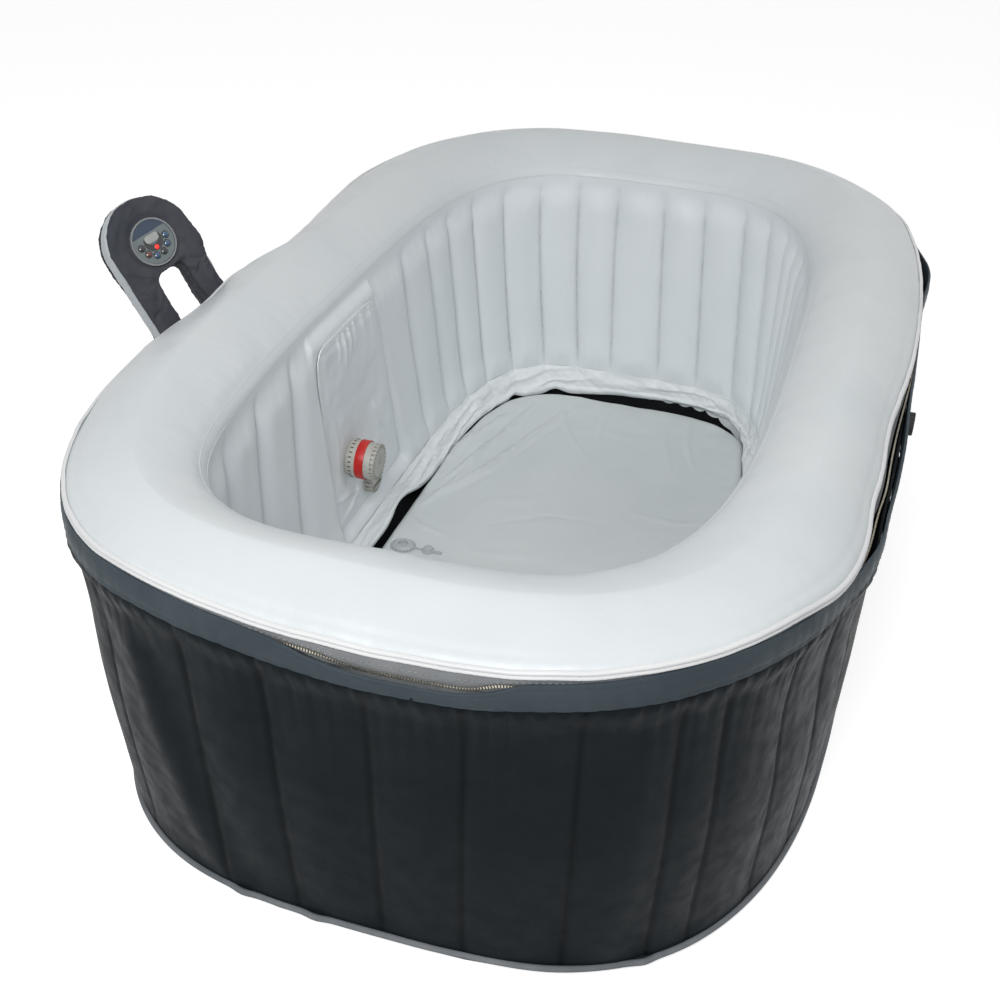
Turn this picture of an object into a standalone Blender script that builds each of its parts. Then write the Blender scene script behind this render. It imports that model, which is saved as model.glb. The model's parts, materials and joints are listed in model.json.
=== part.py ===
"""Inflatable hot tub for two, with a control arch beside its left rim.

Metres, +Z up. The origin is the middle of the base: +X is the tub's right side, the side away from
the control arch, and +Y runs along the tub's length, away from its near end.
"""

import math

import bmesh
import bpy
from mathutils import Matrix, Vector

# Whole tub
TUB_LENGTH = 1.860
TUB_WIDTH = 1.110
TUB_HEIGHT = 0.600
FOOT_LENGTH_DRAW = 0.170
FOOT_LENGTH = TUB_LENGTH - FOOT_LENGTH_DRAW
FOOT_WIDTH_DRAW = 0.030
FOOT_WIDTH = TUB_WIDTH - FOOT_WIDTH_DRAW
GAP = 0.0003
CUT_OVERRUN = 0.010
MERGE_DISTANCE = 0.000001
TURN_MERGE_DISTANCE = 0.00001
SHARP_ANGLE = math.radians(35)

# Plan outlines are superellipses; these are their powers and how finely they are drawn
OUTER_POWER = 3.3
FOOT_POWER = 3.2
INNER_POWER = 3.45
WALL_FOOT_POWER = 4.4
PAD_POWER = 4.4
OUTER_STEPS = 72
CHANNELS = 48
STEPS_PER_CHANNEL = 3

# Top tube
RIM_RISE = 0.047
SEAM_HEIGHT = TUB_HEIGHT - RIM_RISE
RIM_WIDTH = 0.176
RIM_CREST_INSET = 0.088
RIM_BASE_DROP = 0.018
RIM_BASE_HEIGHT = SEAM_HEIGHT - RIM_BASE_DROP
WELD_DROP = 0.051
WELD_HEIGHT = TUB_HEIGHT - WELD_DROP
RIM_ROUNDNESS = 1.40
RIM_ARC_STEPS = 3
RIM_SIDE_INSET = 0.004

# Welted edge, zip tape and zip band under the top tube
WELT_THICKNESS = 0.0028
WELT_DEPTH = 0.012
TAPE_THICKNESS = 0.0015
TAPE_HEIGHT = 0.010
BAND_THICKNESS = 0.003
BAND_HEIGHT = 0.030

# Zip slider and its pull
SLIDER_LENGTH = 0.018
SLIDER_HEIGHT = 0.013
SLIDER_THICKNESS = 0.005
SLIDER_PLACE_Y = -0.045
ZIP_SIDE_SAG = 0.008
PULL_LENGTH = 0.026
PULL_WIDTH = 0.0085
PULL_THICKNESS = 0.0016
PULL_EYE_RADIUS = 0.0018
BRIDGE_RADIUS = 0.0014
BRIDGE_REACH = 0.0056
SLIDER_TRAVEL = 0.20

# Dark fabric jacket
JACKET_THICKNESS = 0.003
JACKET_BULGE = 0.008
JACKET_LEVEL_SHARES = (0.0, 0.25, 0.62, 1.0)
BASE_THICKNESS = 0.003
PIPING_RADIUS = 0.0045
PIPING_HEIGHT = 0.012
PIPING_SIDES = 4

# Air wall with its channels
CHANNEL_DEPTH = 0.020
WALL_EASE = 0.005
WALL_TAPER = 0.030
CHANNEL_TOP_DROP = 0.040
CHANNEL_FOOT_HEIGHT = 0.100

# Floor sheet, skirt, bubble hose and mat
FLOOR_THICKNESS = 0.002
SKIRT_HEIGHT = 0.090
SKIRT_THICKNESS = 0.0025
SKIRT_TOP_INSET = 0.0245
SKIRT_PAD_GAP = 0.008
HOSE_RADIUS = 0.006
HOSE_INSET = 0.010
HOSE_SIDES = 4
PAD_END_ROOM = 0.208
PAD_LENGTH = TUB_LENGTH - PAD_END_ROOM * 2
PAD_SIDE_ROOM = 0.253
PAD_WIDTH = TUB_WIDTH - PAD_SIDE_ROOM * 2
PAD_THICKNESS = 0.040
PAD_EDGE_RADIUS = 0.016

# Mat valve
VALVE_EDGE_ROOM = 0.040
VALVE_PLACE = (VALVE_EDGE_ROOM - PAD_WIDTH / 2, 0.0)
PATCH_RADIUS = 0.0242
PATCH_THICKNESS = 0.0008
VALVE_RADIUS = 0.021
VALVE_HEIGHT = 0.0055
VALVE_BORE = 0.0095
VALVE_SEAT_SHARE = 0.4
CAP_RADIUS = 0.0115
CAP_THICKNESS = 0.0040
CAP_PLUG_RADIUS = 0.0082
CAP_PLUG_DEPTH = 0.0042
CAP_TAB_LENGTH = 0.016
CAP_TAB_WIDTH = 0.008
TETHER_WIDTH = 0.005
TETHER_THICKNESS = 0.0016

# Equipment panel in the left inner wall
PANEL_LOW_Y = -0.130
PANEL_HIGH_Y = 0.155
PANEL_LOW_Z = 0.105
PANEL_HEAD_ROOM = 0.060
PANEL_HIGH_Z = RIM_BASE_HEIGHT - PANEL_HEAD_ROOM
PANEL_INSET = 0.205
PANEL_FACE = TUB_WIDTH / 2 - PANEL_INSET
PANEL_THICKNESS = 0.0022
PANEL_CORNER = 0.022
PANEL_MARGIN = 0.020
SKIN_THICKNESS = 0.004
POCKET_MARGIN = 0.010
POCKET_ROOM_ABOVE = 0.115

# Filter on the inlet
FILTER_PLACE_Y = -0.037
FILTER_PLACE_Z = 0.235
FILTER_RADIUS = 0.034
FILTER_LENGTH = 0.043
FILTER_WALL = 0.003
FILTER_TAPER = 0.001
FILTER_TRAVEL = 0.10
FILTER_BAND_WIDTH = 0.020
FILTER_BAND_THICKNESS = 0.0006
FILTER_BAND_START_SHARE = 0.48
FILTER_CAP_LENGTH = 0.007
FILTER_CAP_NOTCHES = 24
NOTCH_DEPTH = 0.0035
CAP_DIMPLE_RADIUS = 0.004
CAP_DIMPLE_DEPTH = 0.0012
CARTRIDGE_PLEATS = 24
CARTRIDGE_INNER_RADIUS = 0.020
CARTRIDGE_BORE = 0.013
FLANGE_RADIUS = 0.031
FLANGE_THICKNESS = 0.004
SPIGOT_RADIUS = 0.017
SPIGOT_BORE = 0.013
SPIGOT_REACH = 0.042
NUT_RADIUS = 0.026
NUT_THICKNESS = 0.008
NUT_SIDES = 8

# Outlet and its aiming cap
OUTLET_PLACE_Y = 0.055
OUTLET_PLACE_Z = 0.148
OUTLET_CAP_RADIUS = 0.031
OUTLET_CAP_THICKNESS = 0.011
OUTLET_CAP_NOTCHES = 20

# Control unit in the wall
UNIT_DEPTH = 0.159
UNIT_LENGTH = 0.340
UNIT_HEIGHT = 0.300
UNIT_WALL = 0.004
UNIT_SPLIT_SHARE = 0.50
PUMP_END_ROOM = 0.0625
PUMP_HEIGHT = 0.090
MOTOR_RADIUS = 0.036
MOTOR_LENGTH = 0.044
MOTOR_SHAFT_RADIUS = 0.004
SHAFT_CLEARANCE = 0.0004
VOLUTE_RADIUS = 0.048
VOLUTE_DEPTH = 0.040
VOLUTE_WALL = 0.005
IMPELLER_RADIUS = 0.038
IMPELLER_VANES = 6
IMPELLER_THICKNESS = 0.020
COVER_THICKNESS = 0.004
HEATER_RADIUS = 0.022
HEATER_BOARD_ROOM = 0.020
HEATER_END_ROOM = 0.0525
HEATER_HEIGHT = 0.215
BLOWER_END_ROOM = 0.0725
BLOWER_HEIGHT = 0.085
BLOWER_RADIUS = 0.050
BLOWER_DEPTH = 0.060
BLOWER_WALL = 0.004
FAN_RADIUS = 0.040
FAN_VANES = 10
FAN_THICKNESS = 0.030
FAN_SHAFT_RADIUS = 0.004
HUB_SHARE = 0.30
VANE_SHARE = 0.22
BOARD_LENGTH = 0.110
BOARD_HEIGHT = 0.080
BOARD_THICKNESS = 0.0016
BOARD_END_ROOM = 0.0075
BOARD_PLACE_HEIGHT = 0.205
PIPE_RADIUS = 0.009
PIPE_BEND = PIPE_RADIUS * 2.2
HEATER_BEND = PIPE_BEND * 1.2

# Control arch: its frame leans out over the ground and is turned towards the near end
ARCH_REACH = 0.123
ARCH_END_ROOM = 0.0775
ARCH_RISE = 0.0015
ARCH_LEAN = math.radians(33.5)
ARCH_TWIST = math.radians(32.5)
ARCH_HALF_WIDTH = 0.075
ARCH_LEG_WIDTH = 0.048
ARCH_HOLE_DROP = 0.052
ARCH_HOLE_CORNER = 0.014
ARCH_LEG_LENGTH = 0.400
ARCH_FACE_THICKNESS = 0.012
ARCH_BAND_THICKNESS = 0.026
ARCH_BACK_THICKNESS = 0.010
ARCH_FACE_INSET = 0.0015
ARCH_FACE_EDGE = 0.005
ARCH_BACK_EDGE = 0.0025
ARC_STEPS = 20
ARCH_BRACKET_THICKNESS = 0.017
ARCH_BRACKET_LENGTH = 0.160
ARCH_BRACKET_DROP = 0.060
ARCH_BRACKET_END_ROOM = 0.0025

# Round control panel on the arch
PLATE_RADIUS = 0.0365
PLATE_THICKNESS = 0.005
BEZEL_WIDTH = 0.0030
BEZEL_HEIGHT = 0.0062
BUTTON_RADIUS = 0.0047
BUTTON_HEIGHT = 0.0050
BUTTON_PROUD = 0.0016
BUTTON_TRAVEL = 0.0010
BUTTON_CLEARANCE = 0.0004
BUTTON_RING_RADIUS = 0.0245
BUTTON_RING_RISE = 0.0020
BUTTON_FIRST_ANGLE = math.radians(-4)
BUTTON_LAST_ANGLE = math.radians(-176)
ROUND_BUTTONS = 6
CENTRE_BUTTON_RADIUS = 0.0040
CENTRE_BUTTON_RISE = -0.0095
WINDOW_WIDTH = 0.0210
WINDOW_HEIGHT = 0.0105
WINDOW_RISE = 0.0085
WINDOW_THICKNESS = 0.0010
LENS_OUTER_RADIUS = 0.0170
LENS_OUTER_RISE = 0.0020
LENS_INNER_RADIUS = 0.0142
LENS_INNER_RISE = 0.0105
LENS_THICKNESS = 0.0008

# Drain at the far end and air valve on the right side, both on the jacket
DRAIN_HEIGHT = 0.070
DRAIN_RADIUS = 0.019
DRAIN_THICKNESS = 0.005
DRAIN_NECK_RADIUS = 0.012
DRAIN_NECK_LENGTH = 0.010
DRAIN_CAP_RADIUS = 0.016
DRAIN_CAP_LENGTH = 0.013
AIR_VALVE_DROP = 0.170
AIR_VALVE_HEIGHT = TUB_HEIGHT - AIR_VALVE_DROP
AIR_VALVE_RADIUS = 0.022
AIR_VALVE_THICKNESS = 0.005
AIR_VALVE_NECK_RADIUS = 0.014
AIR_VALVE_NECK_LENGTH = 0.009
AIR_CAP_RADIUS = 0.018
AIR_CAP_LENGTH = 0.012
CAP_WALL = 0.0016
ROUND_STEPS = 24
FINE_STEPS = 28
BUTTON_STEPS = 12


def collection(name):
    """A collection of the scene, made if it is missing."""
    found = bpy.data.collections.get(name)
    if found is None:
        found = bpy.data.collections.new(name)
        bpy.context.scene.collection.children.link(found)
    return found


def material(name, colour, roughness, metallic=0.0):
    """A Principled material with one colour."""
    made = bpy.data.materials.new(name)
    made.use_nodes = True
    shader = made.node_tree.nodes["Principled BSDF"]
    shader.inputs["Base Color"].default_value = (*colour, 1.0)
    shader.inputs["Roughness"].default_value = roughness
    shader.inputs["Metallic"].default_value = metallic
    return made


def add(name, mesh, finish, place=None):
    """Link a mesh into the tub's collection as a named part."""
    part = bpy.data.objects.new(name, mesh)
    part.data.materials.append(finish)
    part.matrix_world = place or Matrix.Identity(4)
    collection("inflatable_hot_tub").objects.link(part)
    return part


def hide_cutter(part):
    """Move a part into the cutters' collection and keep it out of renders."""
    for home in list(part.users_collection):
        home.objects.unlink(part)
    collection("cutters").objects.link(part)
    part.hide_render = True
    part.display_type = "WIRE"
    return part


def cut(part, cutter, operation="DIFFERENCE"):
    """Cut a part, or keep what lies inside the cutter."""
    boolean = part.modifiers.new(cutter.name, "BOOLEAN")
    boolean.operation = operation
    boolean.solver = "EXACT"
    boolean.object = cutter
    return part


def outline(half_width, half_length, power, angles):
    """Points of a superellipse, anticlockwise from +X."""
    points = []
    for angle in angles:
        c, s = math.cos(angle), math.sin(angle)
        x = math.copysign(half_width * abs(c) ** (2 / power), c)
        y = math.copysign(half_length * abs(s) ** (2 / power), s)
        points.append((x, y))
    return points


def even_angles(half_width, half_length, power, count):
    """Angles that step evenly along a superellipse."""
    fine = 40 * count
    angles = [2 * math.pi * i / fine for i in range(fine + 1)]
    points = outline(half_width, half_length, power, angles)
    lengths = [0.0]
    for (x0, y0), (x1, y1) in zip(points, points[1:]):
        lengths.append(lengths[-1] + math.hypot(x1 - x0, y1 - y0))
    result, i = [], 0
    for k in range(count):
        target = lengths[-1] * k / count
        while lengths[i + 1] < target:
            i += 1
        share = (target - lengths[i]) / (lengths[i + 1] - lengths[i])
        result.append(angles[i] + share * (angles[i + 1] - angles[i]))
    return result


def skin_rows(mesh, pairs):
    """Triangles between pairs of loops, whose diagonals all start at the odd points."""
    for lower, upper in pairs:
        count = len(lower)
        for i in range(count):
            j = (i + 1) % count
            if i % 2:
                mesh.faces.new((lower[i], lower[j], upper[j]))
                mesh.faces.new((lower[i], upper[j], upper[i]))
            else:
                mesh.faces.new((lower[i], lower[j], upper[i]))
                mesh.faces.new((lower[j], upper[j], upper[i]))


def ring(name, rows, finish):
    """A closed ring lofted through loops that go once round its section."""
    mesh = bmesh.new()
    loops = [[mesh.verts.new(point) for point in row] for row in rows]
    skin_rows(mesh, zip(loops, loops[1:] + loops[:1]))
    return finish_mesh(name, mesh, finish)


def stack(name, rows, finish):
    """A closed solid lofted through loops from bottom to top, capped at both ends."""
    mesh = bmesh.new()
    loops = [[mesh.verts.new(point) for point in row] for row in rows]
    skin_rows(mesh, zip(loops, loops[1:]))
    mesh.faces.new(list(reversed(loops[0])))
    mesh.faces.new(loops[-1])
    return finish_mesh(name, mesh, finish)


def finish_mesh(name, mesh, finish, place=None):
    """Turn a bmesh into a part whose faces point outwards."""
    bmesh.ops.recalc_face_normals(mesh, faces=mesh.faces)
    data = bpy.data.meshes.new(name)
    mesh.to_mesh(data)
    mesh.free()
    return add(name, data, finish, place)


def box(name, low, high, finish):
    """A box between two corners."""
    mesh = bmesh.new()
    bmesh.ops.create_cube(mesh, size=1.0)
    size = [b - a for a, b in zip(low, high)]
    middle = [(a + b) / 2 for a, b in zip(low, high)]
    bmesh.ops.scale(mesh, vec=size, verts=mesh.verts)
    return finish_mesh(name, mesh, finish, Matrix.Translation(middle))


def turned(name, profile, finish, place, steps=ROUND_STEPS, closed=True):
    """A profile of (radius, height) turned about Z, from its outer top downwards."""
    mesh = bmesh.new()
    points = [mesh.verts.new((radius, 0.0, height)) for radius, height in profile]
    for first, second in zip(points, points[1:]):
        mesh.edges.new((first, second))
    if closed:
        mesh.edges.new((points[-1], points[0]))
    data = bpy.data.meshes.new(name)
    mesh.to_mesh(data)
    mesh.free()
    part = add(name, data, finish, place)
    screw = part.modifiers.new("turn", "SCREW")
    screw.steps = steps
    screw.render_steps = steps
    screw.use_merge_vertices = True
    screw.merge_threshold = TURN_MERGE_DISTANCE
    return part


def tube_profile(outer, inner, low, high):
    """Section of a plain tube for turned()."""
    return [(outer, high), (outer, low), (inner, low), (inner, high)]


def disc_profile(radius, low, high):
    """Section of a plain disc for turned(closed=False)."""
    return [(0.0, high), (radius, high), (radius, low), (0.0, low)]


def flat(name, outlines, thickness, finish, place=None):
    """A flat solid with holes: 2D outlines given thickness upwards from z = 0, then made a mesh."""
    curve = bpy.data.curves.new(name, "CURVE")
    curve.dimensions = "2D"
    curve.fill_mode = "BOTH"
    curve.extrude = thickness / 2
    for points in outlines:
        spline = curve.splines.new("POLY")
        spline.points.add(len(points) - 1)
        for target, (x, y) in zip(spline.points, points):
            target.co = (x, y, 0.0, 1.0)
        spline.use_cyclic_u = True
    guide = bpy.data.objects.new(name, curve)
    bpy.context.scene.collection.objects.link(guide)
    bpy.context.view_layer.update()
    evaluated = guide.evaluated_get(bpy.context.evaluated_depsgraph_get())
    data = bpy.data.meshes.new_from_object(evaluated)
    bpy.data.objects.remove(guide)
    mesh = bmesh.new()
    mesh.from_mesh(data)
    bpy.data.meshes.remove(data)
    bmesh.ops.remove_doubles(mesh, verts=mesh.verts, dist=MERGE_DISTANCE)
    bmesh.ops.translate(mesh, vec=(0.0, 0.0, thickness / 2), verts=mesh.verts)
    return finish_mesh(name, mesh, finish, place)


def circle(radius, steps, x=0.0, y=0.0):
    """Points of a circle."""
    turn = [2 * math.pi * i / steps for i in range(steps)]
    return [(x + radius * math.cos(t), y + radius * math.sin(t)) for t in turn]


def arc(x, y, radius, start, end, steps):
    """Points along an arc, both ends included."""
    turn = [start + (end - start) * i / steps for i in range(steps + 1)]
    return [(x + radius * math.cos(t), y + radius * math.sin(t)) for t in turn]


def rounded_box(width, height, corner, steps=4):
    """Outline of a rectangle with round corners, centred on zero."""
    points = []
    for quarter, (sx, sy) in enumerate(((1, 1), (-1, 1), (-1, -1), (1, -1))):
        start = quarter * math.pi / 2
        x, y = sx * (width / 2 - corner), sy * (height / 2 - corner)
        points += arc(x, y, corner, start, start + math.pi / 2, steps)
    return points


def smooth_route(points, count):
    """Evenly counted points on a smooth curve through a few given ones."""
    ends = [points[0] * 2 - points[1]] + points + [points[-1] * 2 - points[-2]]
    route = []
    for i in range(count):
        place = (len(points) - 1) * i / (count - 1)
        k = min(int(place), len(points) - 2)
        t = place - k
        a, b, c, d = ends[k:k + 4]
        bend = a * -1 + b * 3 - c * 3 + d
        curve = a * 2 - b * 5 + c * 4 - d
        route.append(b + ((c - a) * t + curve * t * t + bend * t * t * t) / 2)
    return route


def pipe(name, points, radius, finish, count=14):
    """A round pipe along a smooth route, whose first and last stretches are straight."""
    curve = bpy.data.curves.new(name, "CURVE")
    curve.dimensions = "3D"
    curve.bevel_depth = radius
    curve.bevel_resolution = 2
    curve.use_fill_caps = True
    places = [Vector(point) for point in points]
    route = [places[0]] + smooth_route(places[1:-1], count) + [places[-1]]
    spline = curve.splines.new("POLY")
    spline.points.add(len(route) - 1)
    for target, point in zip(spline.points, route):
        target.co = (*point, 1.0)
    part = bpy.data.objects.new(name, curve)
    part.data.materials.append(finish)
    collection("inflatable_hot_tub").objects.link(part)
    return part


def along_x(x, y, z):
    """A frame whose Z runs along +X from a point."""
    return Matrix.Translation((x, y, z)) @ Matrix.Rotation(math.radians(90), 4, "Y")


def hang_on(name, point, part):
    """Parent a moving part to an empty on its joint's axis."""
    hinge = bpy.data.objects.new(name, None)
    hinge.matrix_world = Matrix.Translation(point)
    collection("inflatable_hot_tub").objects.link(hinge)
    part.parent = hinge
    part.matrix_parent_inverse = hinge.matrix_world.inverted()


# Outlines that the pieces share

HALF_WIDTH = TUB_WIDTH / 2
HALF_LENGTH = TUB_LENGTH / 2
BAND_BASE_HEIGHT = SEAM_HEIGHT - WELT_DEPTH / 2 - GAP - TAPE_HEIGHT - GAP - BAND_HEIGHT
JACKET_TOP = BAND_BASE_HEIGHT - GAP
RIM_HALF_WIDTH = HALF_WIDTH - WELT_THICKNESS - GAP
RIM_HALF_LENGTH = HALF_LENGTH - WELT_THICKNESS - GAP
OUTER_ANGLES = even_angles(HALF_WIDTH, HALF_LENGTH, OUTER_POWER, OUTER_STEPS)
INNER_HALF_WIDTH = RIM_HALF_WIDTH - RIM_WIDTH
INNER_HALF_LENGTH = RIM_HALF_LENGTH - RIM_WIDTH
WALL_STEPS = CHANNELS * STEPS_PER_CHANNEL
WALL_ANGLES = even_angles(INNER_HALF_WIDTH, INNER_HALF_LENGTH, INNER_POWER, WALL_STEPS)
FLOOR_TOP = BASE_THICKNESS + GAP + FLOOR_THICKNESS
WALL_FOOT = FLOOR_TOP + GAP
PANEL_BACK = PANEL_FACE + PANEL_THICKNESS
SKIN_FACE = PANEL_BACK + GAP
SKIN_BACK = SKIN_FACE + SKIN_THICKNESS
PAD_TOP = WALL_FOOT + PAD_THICKNESS
UNIT_FRONT = SKIN_BACK + GAP + NUT_THICKNESS + GAP
UNIT_REAR = UNIT_FRONT + UNIT_DEPTH
UNIT_MIDDLE_Y = (PANEL_LOW_Y + PANEL_HIGH_Y) / 2 - POCKET_MARGIN
UNIT_LOW_Y = UNIT_MIDDLE_Y - UNIT_LENGTH / 2
UNIT_HIGH_Y = UNIT_MIDDLE_Y + UNIT_LENGTH / 2
PUMP_PLACE = (UNIT_LOW_Y + PUMP_END_ROOM, PUMP_HEIGHT)
BLOWER_PLACE = (UNIT_HIGH_Y - BLOWER_END_ROOM, BLOWER_HEIGHT)
BOARD_PLACE = (UNIT_LOW_Y + BOARD_END_ROOM, BOARD_PLACE_HEIGHT)
HEATER_START_Y = BOARD_PLACE[0] + BOARD_LENGTH + HEATER_BOARD_ROOM
HEATER_LENGTH = UNIT_HIGH_Y - HEATER_END_ROOM - HEATER_START_Y
ARCH_HEAD = (-HALF_WIDTH - ARCH_REACH, UNIT_LOW_Y + ARCH_END_ROOM, TUB_HEIGHT + ARCH_RISE)


def outer_row(height, half_width, half_length, power=OUTER_POWER, bulge=0.0):
    """A loop round the outside; every second point can stand out by the bulge."""
    plain = outline(half_width, half_length, power, OUTER_ANGLES)
    proud = outline(half_width + bulge, half_length + bulge, power, OUTER_ANGLES)
    return [(*(proud if i % 2 else plain)[i], height) for i in range(OUTER_STEPS)]


def jacket_size(height):
    """Half width, half length and power of the jacket's outer face at a height."""
    share = min(max(height / JACKET_TOP, 0.0), 1.0)
    lean = math.sin(share * math.pi / 2)
    half_width = FOOT_WIDTH / 2 + (HALF_WIDTH - FOOT_WIDTH / 2) * share
    half_length = FOOT_LENGTH / 2 + (HALF_LENGTH - FOOT_LENGTH / 2) * lean
    return half_width, half_length, FOOT_POWER + (OUTER_POWER - FOOT_POWER) * share


def jacket_bulge(height):
    """How far the middle of a jacket panel stands out at a height."""
    bottom = BASE_THICKNESS + GAP
    share = (height - bottom) / (JACKET_TOP - bottom)
    rise = share / JACKET_LEVEL_SHARES[1]
    fall = (1 - share) / (1 - JACKET_LEVEL_SHARES[-2])
    return JACKET_BULGE * max(0.0, min(1.0, rise, fall))


def jacket_row(height, inset):
    """A loop of the jacket, or of something nested in it."""
    half_width, half_length, power = jacket_size(height)
    return outer_row(height, half_width - inset, half_length - inset, power, jacket_bulge(height))


def jacket_surface(angle, height, lift=0.0):
    """A frame on the jacket: Z points straight out of it, and it is lifted off by a gap."""
    corners = []
    for turn, level in ((angle, height), (angle + 0.01, height), (angle, height + PIPING_HEIGHT)):
        half_width, half_length, power = jacket_size(level)
        bulge = jacket_bulge(level)
        point = outline(half_width + bulge, half_length + bulge, power, [turn])[0]
        corners.append(Vector((*point, level)))
    here, beside, above = corners
    along = (beside - here).normalized()
    out = along.cross(above - here).normalized()
    up = out.cross(along)
    turn = Matrix((along, up, out)).transposed().to_4x4()
    return Matrix.Translation(here + out * lift) @ turn


# Jacket, base and zip

def make_jacket(finishes):
    """The dark jacket with its base sheet, foot piping and zip band."""
    bottom = BASE_THICKNESS + GAP
    heights = [bottom + (JACKET_TOP - bottom) * share for share in JACKET_LEVEL_SHARES]
    outside = [jacket_row(height, 0.0) for height in heights]
    inside = [jacket_row(height, JACKET_THICKNESS) for height in reversed(heights)]
    ring("jacket_wall", outside + inside, finishes["jacket"])

    half_width, half_length, power = jacket_size(0.0)
    rows = [outer_row(height, half_width, half_length, power) for height in (0.0, BASE_THICKNESS)]
    stack("jacket_base", rows, finishes["jacket"])

    section = []
    for i in range(PIPING_SIDES):
        turn = 2 * math.pi * i / PIPING_SIDES
        height = PIPING_HEIGHT + PIPING_RADIUS * math.sin(turn)
        half_width, half_length, power = jacket_size(PIPING_HEIGHT)
        out = PIPING_RADIUS * (1 + math.cos(turn)) + GAP * 2
        section.append(outer_row(height, half_width + out, half_length + out, power, jacket_bulge(height)))
    ring("foot_piping", section, finishes["piping"])

    top = BAND_BASE_HEIGHT + BAND_HEIGHT
    make_flat_ring("zip_band", BAND_BASE_HEIGHT, top, 0.0, BAND_THICKNESS, finishes["band"])


def make_flat_ring(name, low, high, inset, thickness, finish):
    """An upright strip round the outside of the tub."""
    inner = inset + thickness
    rows = []
    for height, depth in ((low, inset), (high, inset), (high, inner), (low, inner)):
        rows.append(outer_row(height, HALF_WIDTH - depth, HALF_LENGTH - depth))
    ring(name, rows, finish)


def make_zip(finishes):
    """The welted edge, the tub's zip tape, the slider and its pull."""
    low = SEAM_HEIGHT - WELT_DEPTH / 2
    make_flat_ring("rim_welt", low, low + WELT_DEPTH, 0.0, WELT_THICKNESS, finishes["vinyl"])
    tape_high = low - GAP
    tape_low = tape_high - TAPE_HEIGHT
    make_flat_ring("zip_tape", tape_low, tape_high, 0.0, TAPE_THICKNESS, finishes["tape"])

    face = HALF_WIDTH + GAP
    middle = tape_low - ZIP_SIDE_SAG
    body = box(
        "zip_slider",
        (-face - SLIDER_THICKNESS, SLIDER_PLACE_Y - SLIDER_LENGTH / 2, middle - SLIDER_HEIGHT / 2),
        (-face, SLIDER_PLACE_Y + SLIDER_LENGTH / 2, middle + SLIDER_HEIGHT / 2),
        finishes["brass"],
    )
    bevel = body.modifiers.new("round", "BEVEL")
    bevel.width = SLIDER_THICKNESS / 3
    bevel.segments = 2
    pin_x = -face - SLIDER_THICKNESS - BRIDGE_REACH
    bridge_points = [
        (-face - SLIDER_THICKNESS + BRIDGE_RADIUS, -SLIDER_LENGTH / 3),
        (pin_x, -SLIDER_LENGTH / 3),
        (pin_x, SLIDER_LENGTH / 3),
        (-face - SLIDER_THICKNESS + BRIDGE_RADIUS, SLIDER_LENGTH / 3),
    ]
    bridge = bpy.data.curves.new("slider_bridge", "CURVE")
    bridge.dimensions = "3D"
    bridge.bevel_depth = BRIDGE_RADIUS
    bridge.bevel_resolution = 1
    bridge.use_fill_caps = True
    spline = bridge.splines.new("POLY")
    spline.points.add(len(bridge_points) - 1)
    for target, (x, y) in zip(spline.points, bridge_points):
        target.co = (x, SLIDER_PLACE_Y + y, middle, 1.0)
    loop = mesh_from_curve("slider_bridge", bridge)
    cut(body, hide_cutter(loop), "UNION")

    eye = circle(PULL_EYE_RADIUS, 12)
    far = PULL_LENGTH - PULL_WIDTH / 2
    tab = arc(0.0, 0.0, PULL_WIDTH / 2, 0.0, math.pi, 8)
    tab += arc(0.0, -far + PULL_WIDTH / 2, PULL_WIDTH / 2, math.pi, 2 * math.pi, 8)
    hang = Matrix.Translation((pin_x, SLIDER_PLACE_Y + PULL_THICKNESS / 2, middle))
    upright = hang @ Matrix.Rotation(math.radians(90), 4, "X")
    flat("zip_pull", [tab, eye], PULL_THICKNESS, finishes["brass"], upright)


def mesh_from_curve(name, curve):
    """A curve made into a closed mesh part, with its caps welded."""
    guide = bpy.data.objects.new(name, curve)
    bpy.context.scene.collection.objects.link(guide)
    bpy.context.view_layer.update()
    evaluated = guide.evaluated_get(bpy.context.evaluated_depsgraph_get())
    data = bpy.data.meshes.new_from_object(evaluated)
    bpy.data.objects.remove(guide)
    mesh = bmesh.new()
    mesh.from_mesh(data)
    bmesh.ops.remove_doubles(mesh, verts=mesh.verts, dist=MERGE_DISTANCE)
    mesh.to_mesh(data)
    mesh.free()
    part = bpy.data.objects.new(name, data)
    collection("inflatable_hot_tub").objects.link(part)
    return part


# Top tube and air wall

def make_rim(finishes):
    """The round top tube, from its outer foot over the crest to the inner weld."""
    section = [(RIM_SIDE_INSET, RIM_BASE_HEIGHT), (0.0, SEAM_HEIGHT)]
    rise = TUB_HEIGHT - SEAM_HEIGHT
    for i in range(1, RIM_ARC_STEPS + 1):
        turn = math.pi / 2 * i / RIM_ARC_STEPS
        inset = RIM_CREST_INSET * (1 - math.cos(turn) ** RIM_ROUNDNESS)
        section.append((inset, SEAM_HEIGHT + rise * math.sin(turn) ** RIM_ROUNDNESS))
    drop = TUB_HEIGHT - WELD_HEIGHT
    for i in range(1, RIM_ARC_STEPS + 1):
        turn = math.pi / 2 * i / RIM_ARC_STEPS
        reach = RIM_WIDTH - RIM_CREST_INSET
        inset = RIM_CREST_INSET + reach * math.sin(turn) ** RIM_ROUNDNESS
        section.append((inset, WELD_HEIGHT + drop * math.cos(turn) ** RIM_ROUNDNESS))
    section.append((RIM_WIDTH, RIM_BASE_HEIGHT))
    rows = []
    for inset, height in section:
        share = inset / RIM_WIDTH
        power = OUTER_POWER + (INNER_POWER - OUTER_POWER) * share
        rows.append(outer_row(height, RIM_HALF_WIDTH - inset, RIM_HALF_LENGTH - inset, power))
    ring("rim_tube", rows, finishes["vinyl"])


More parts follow.
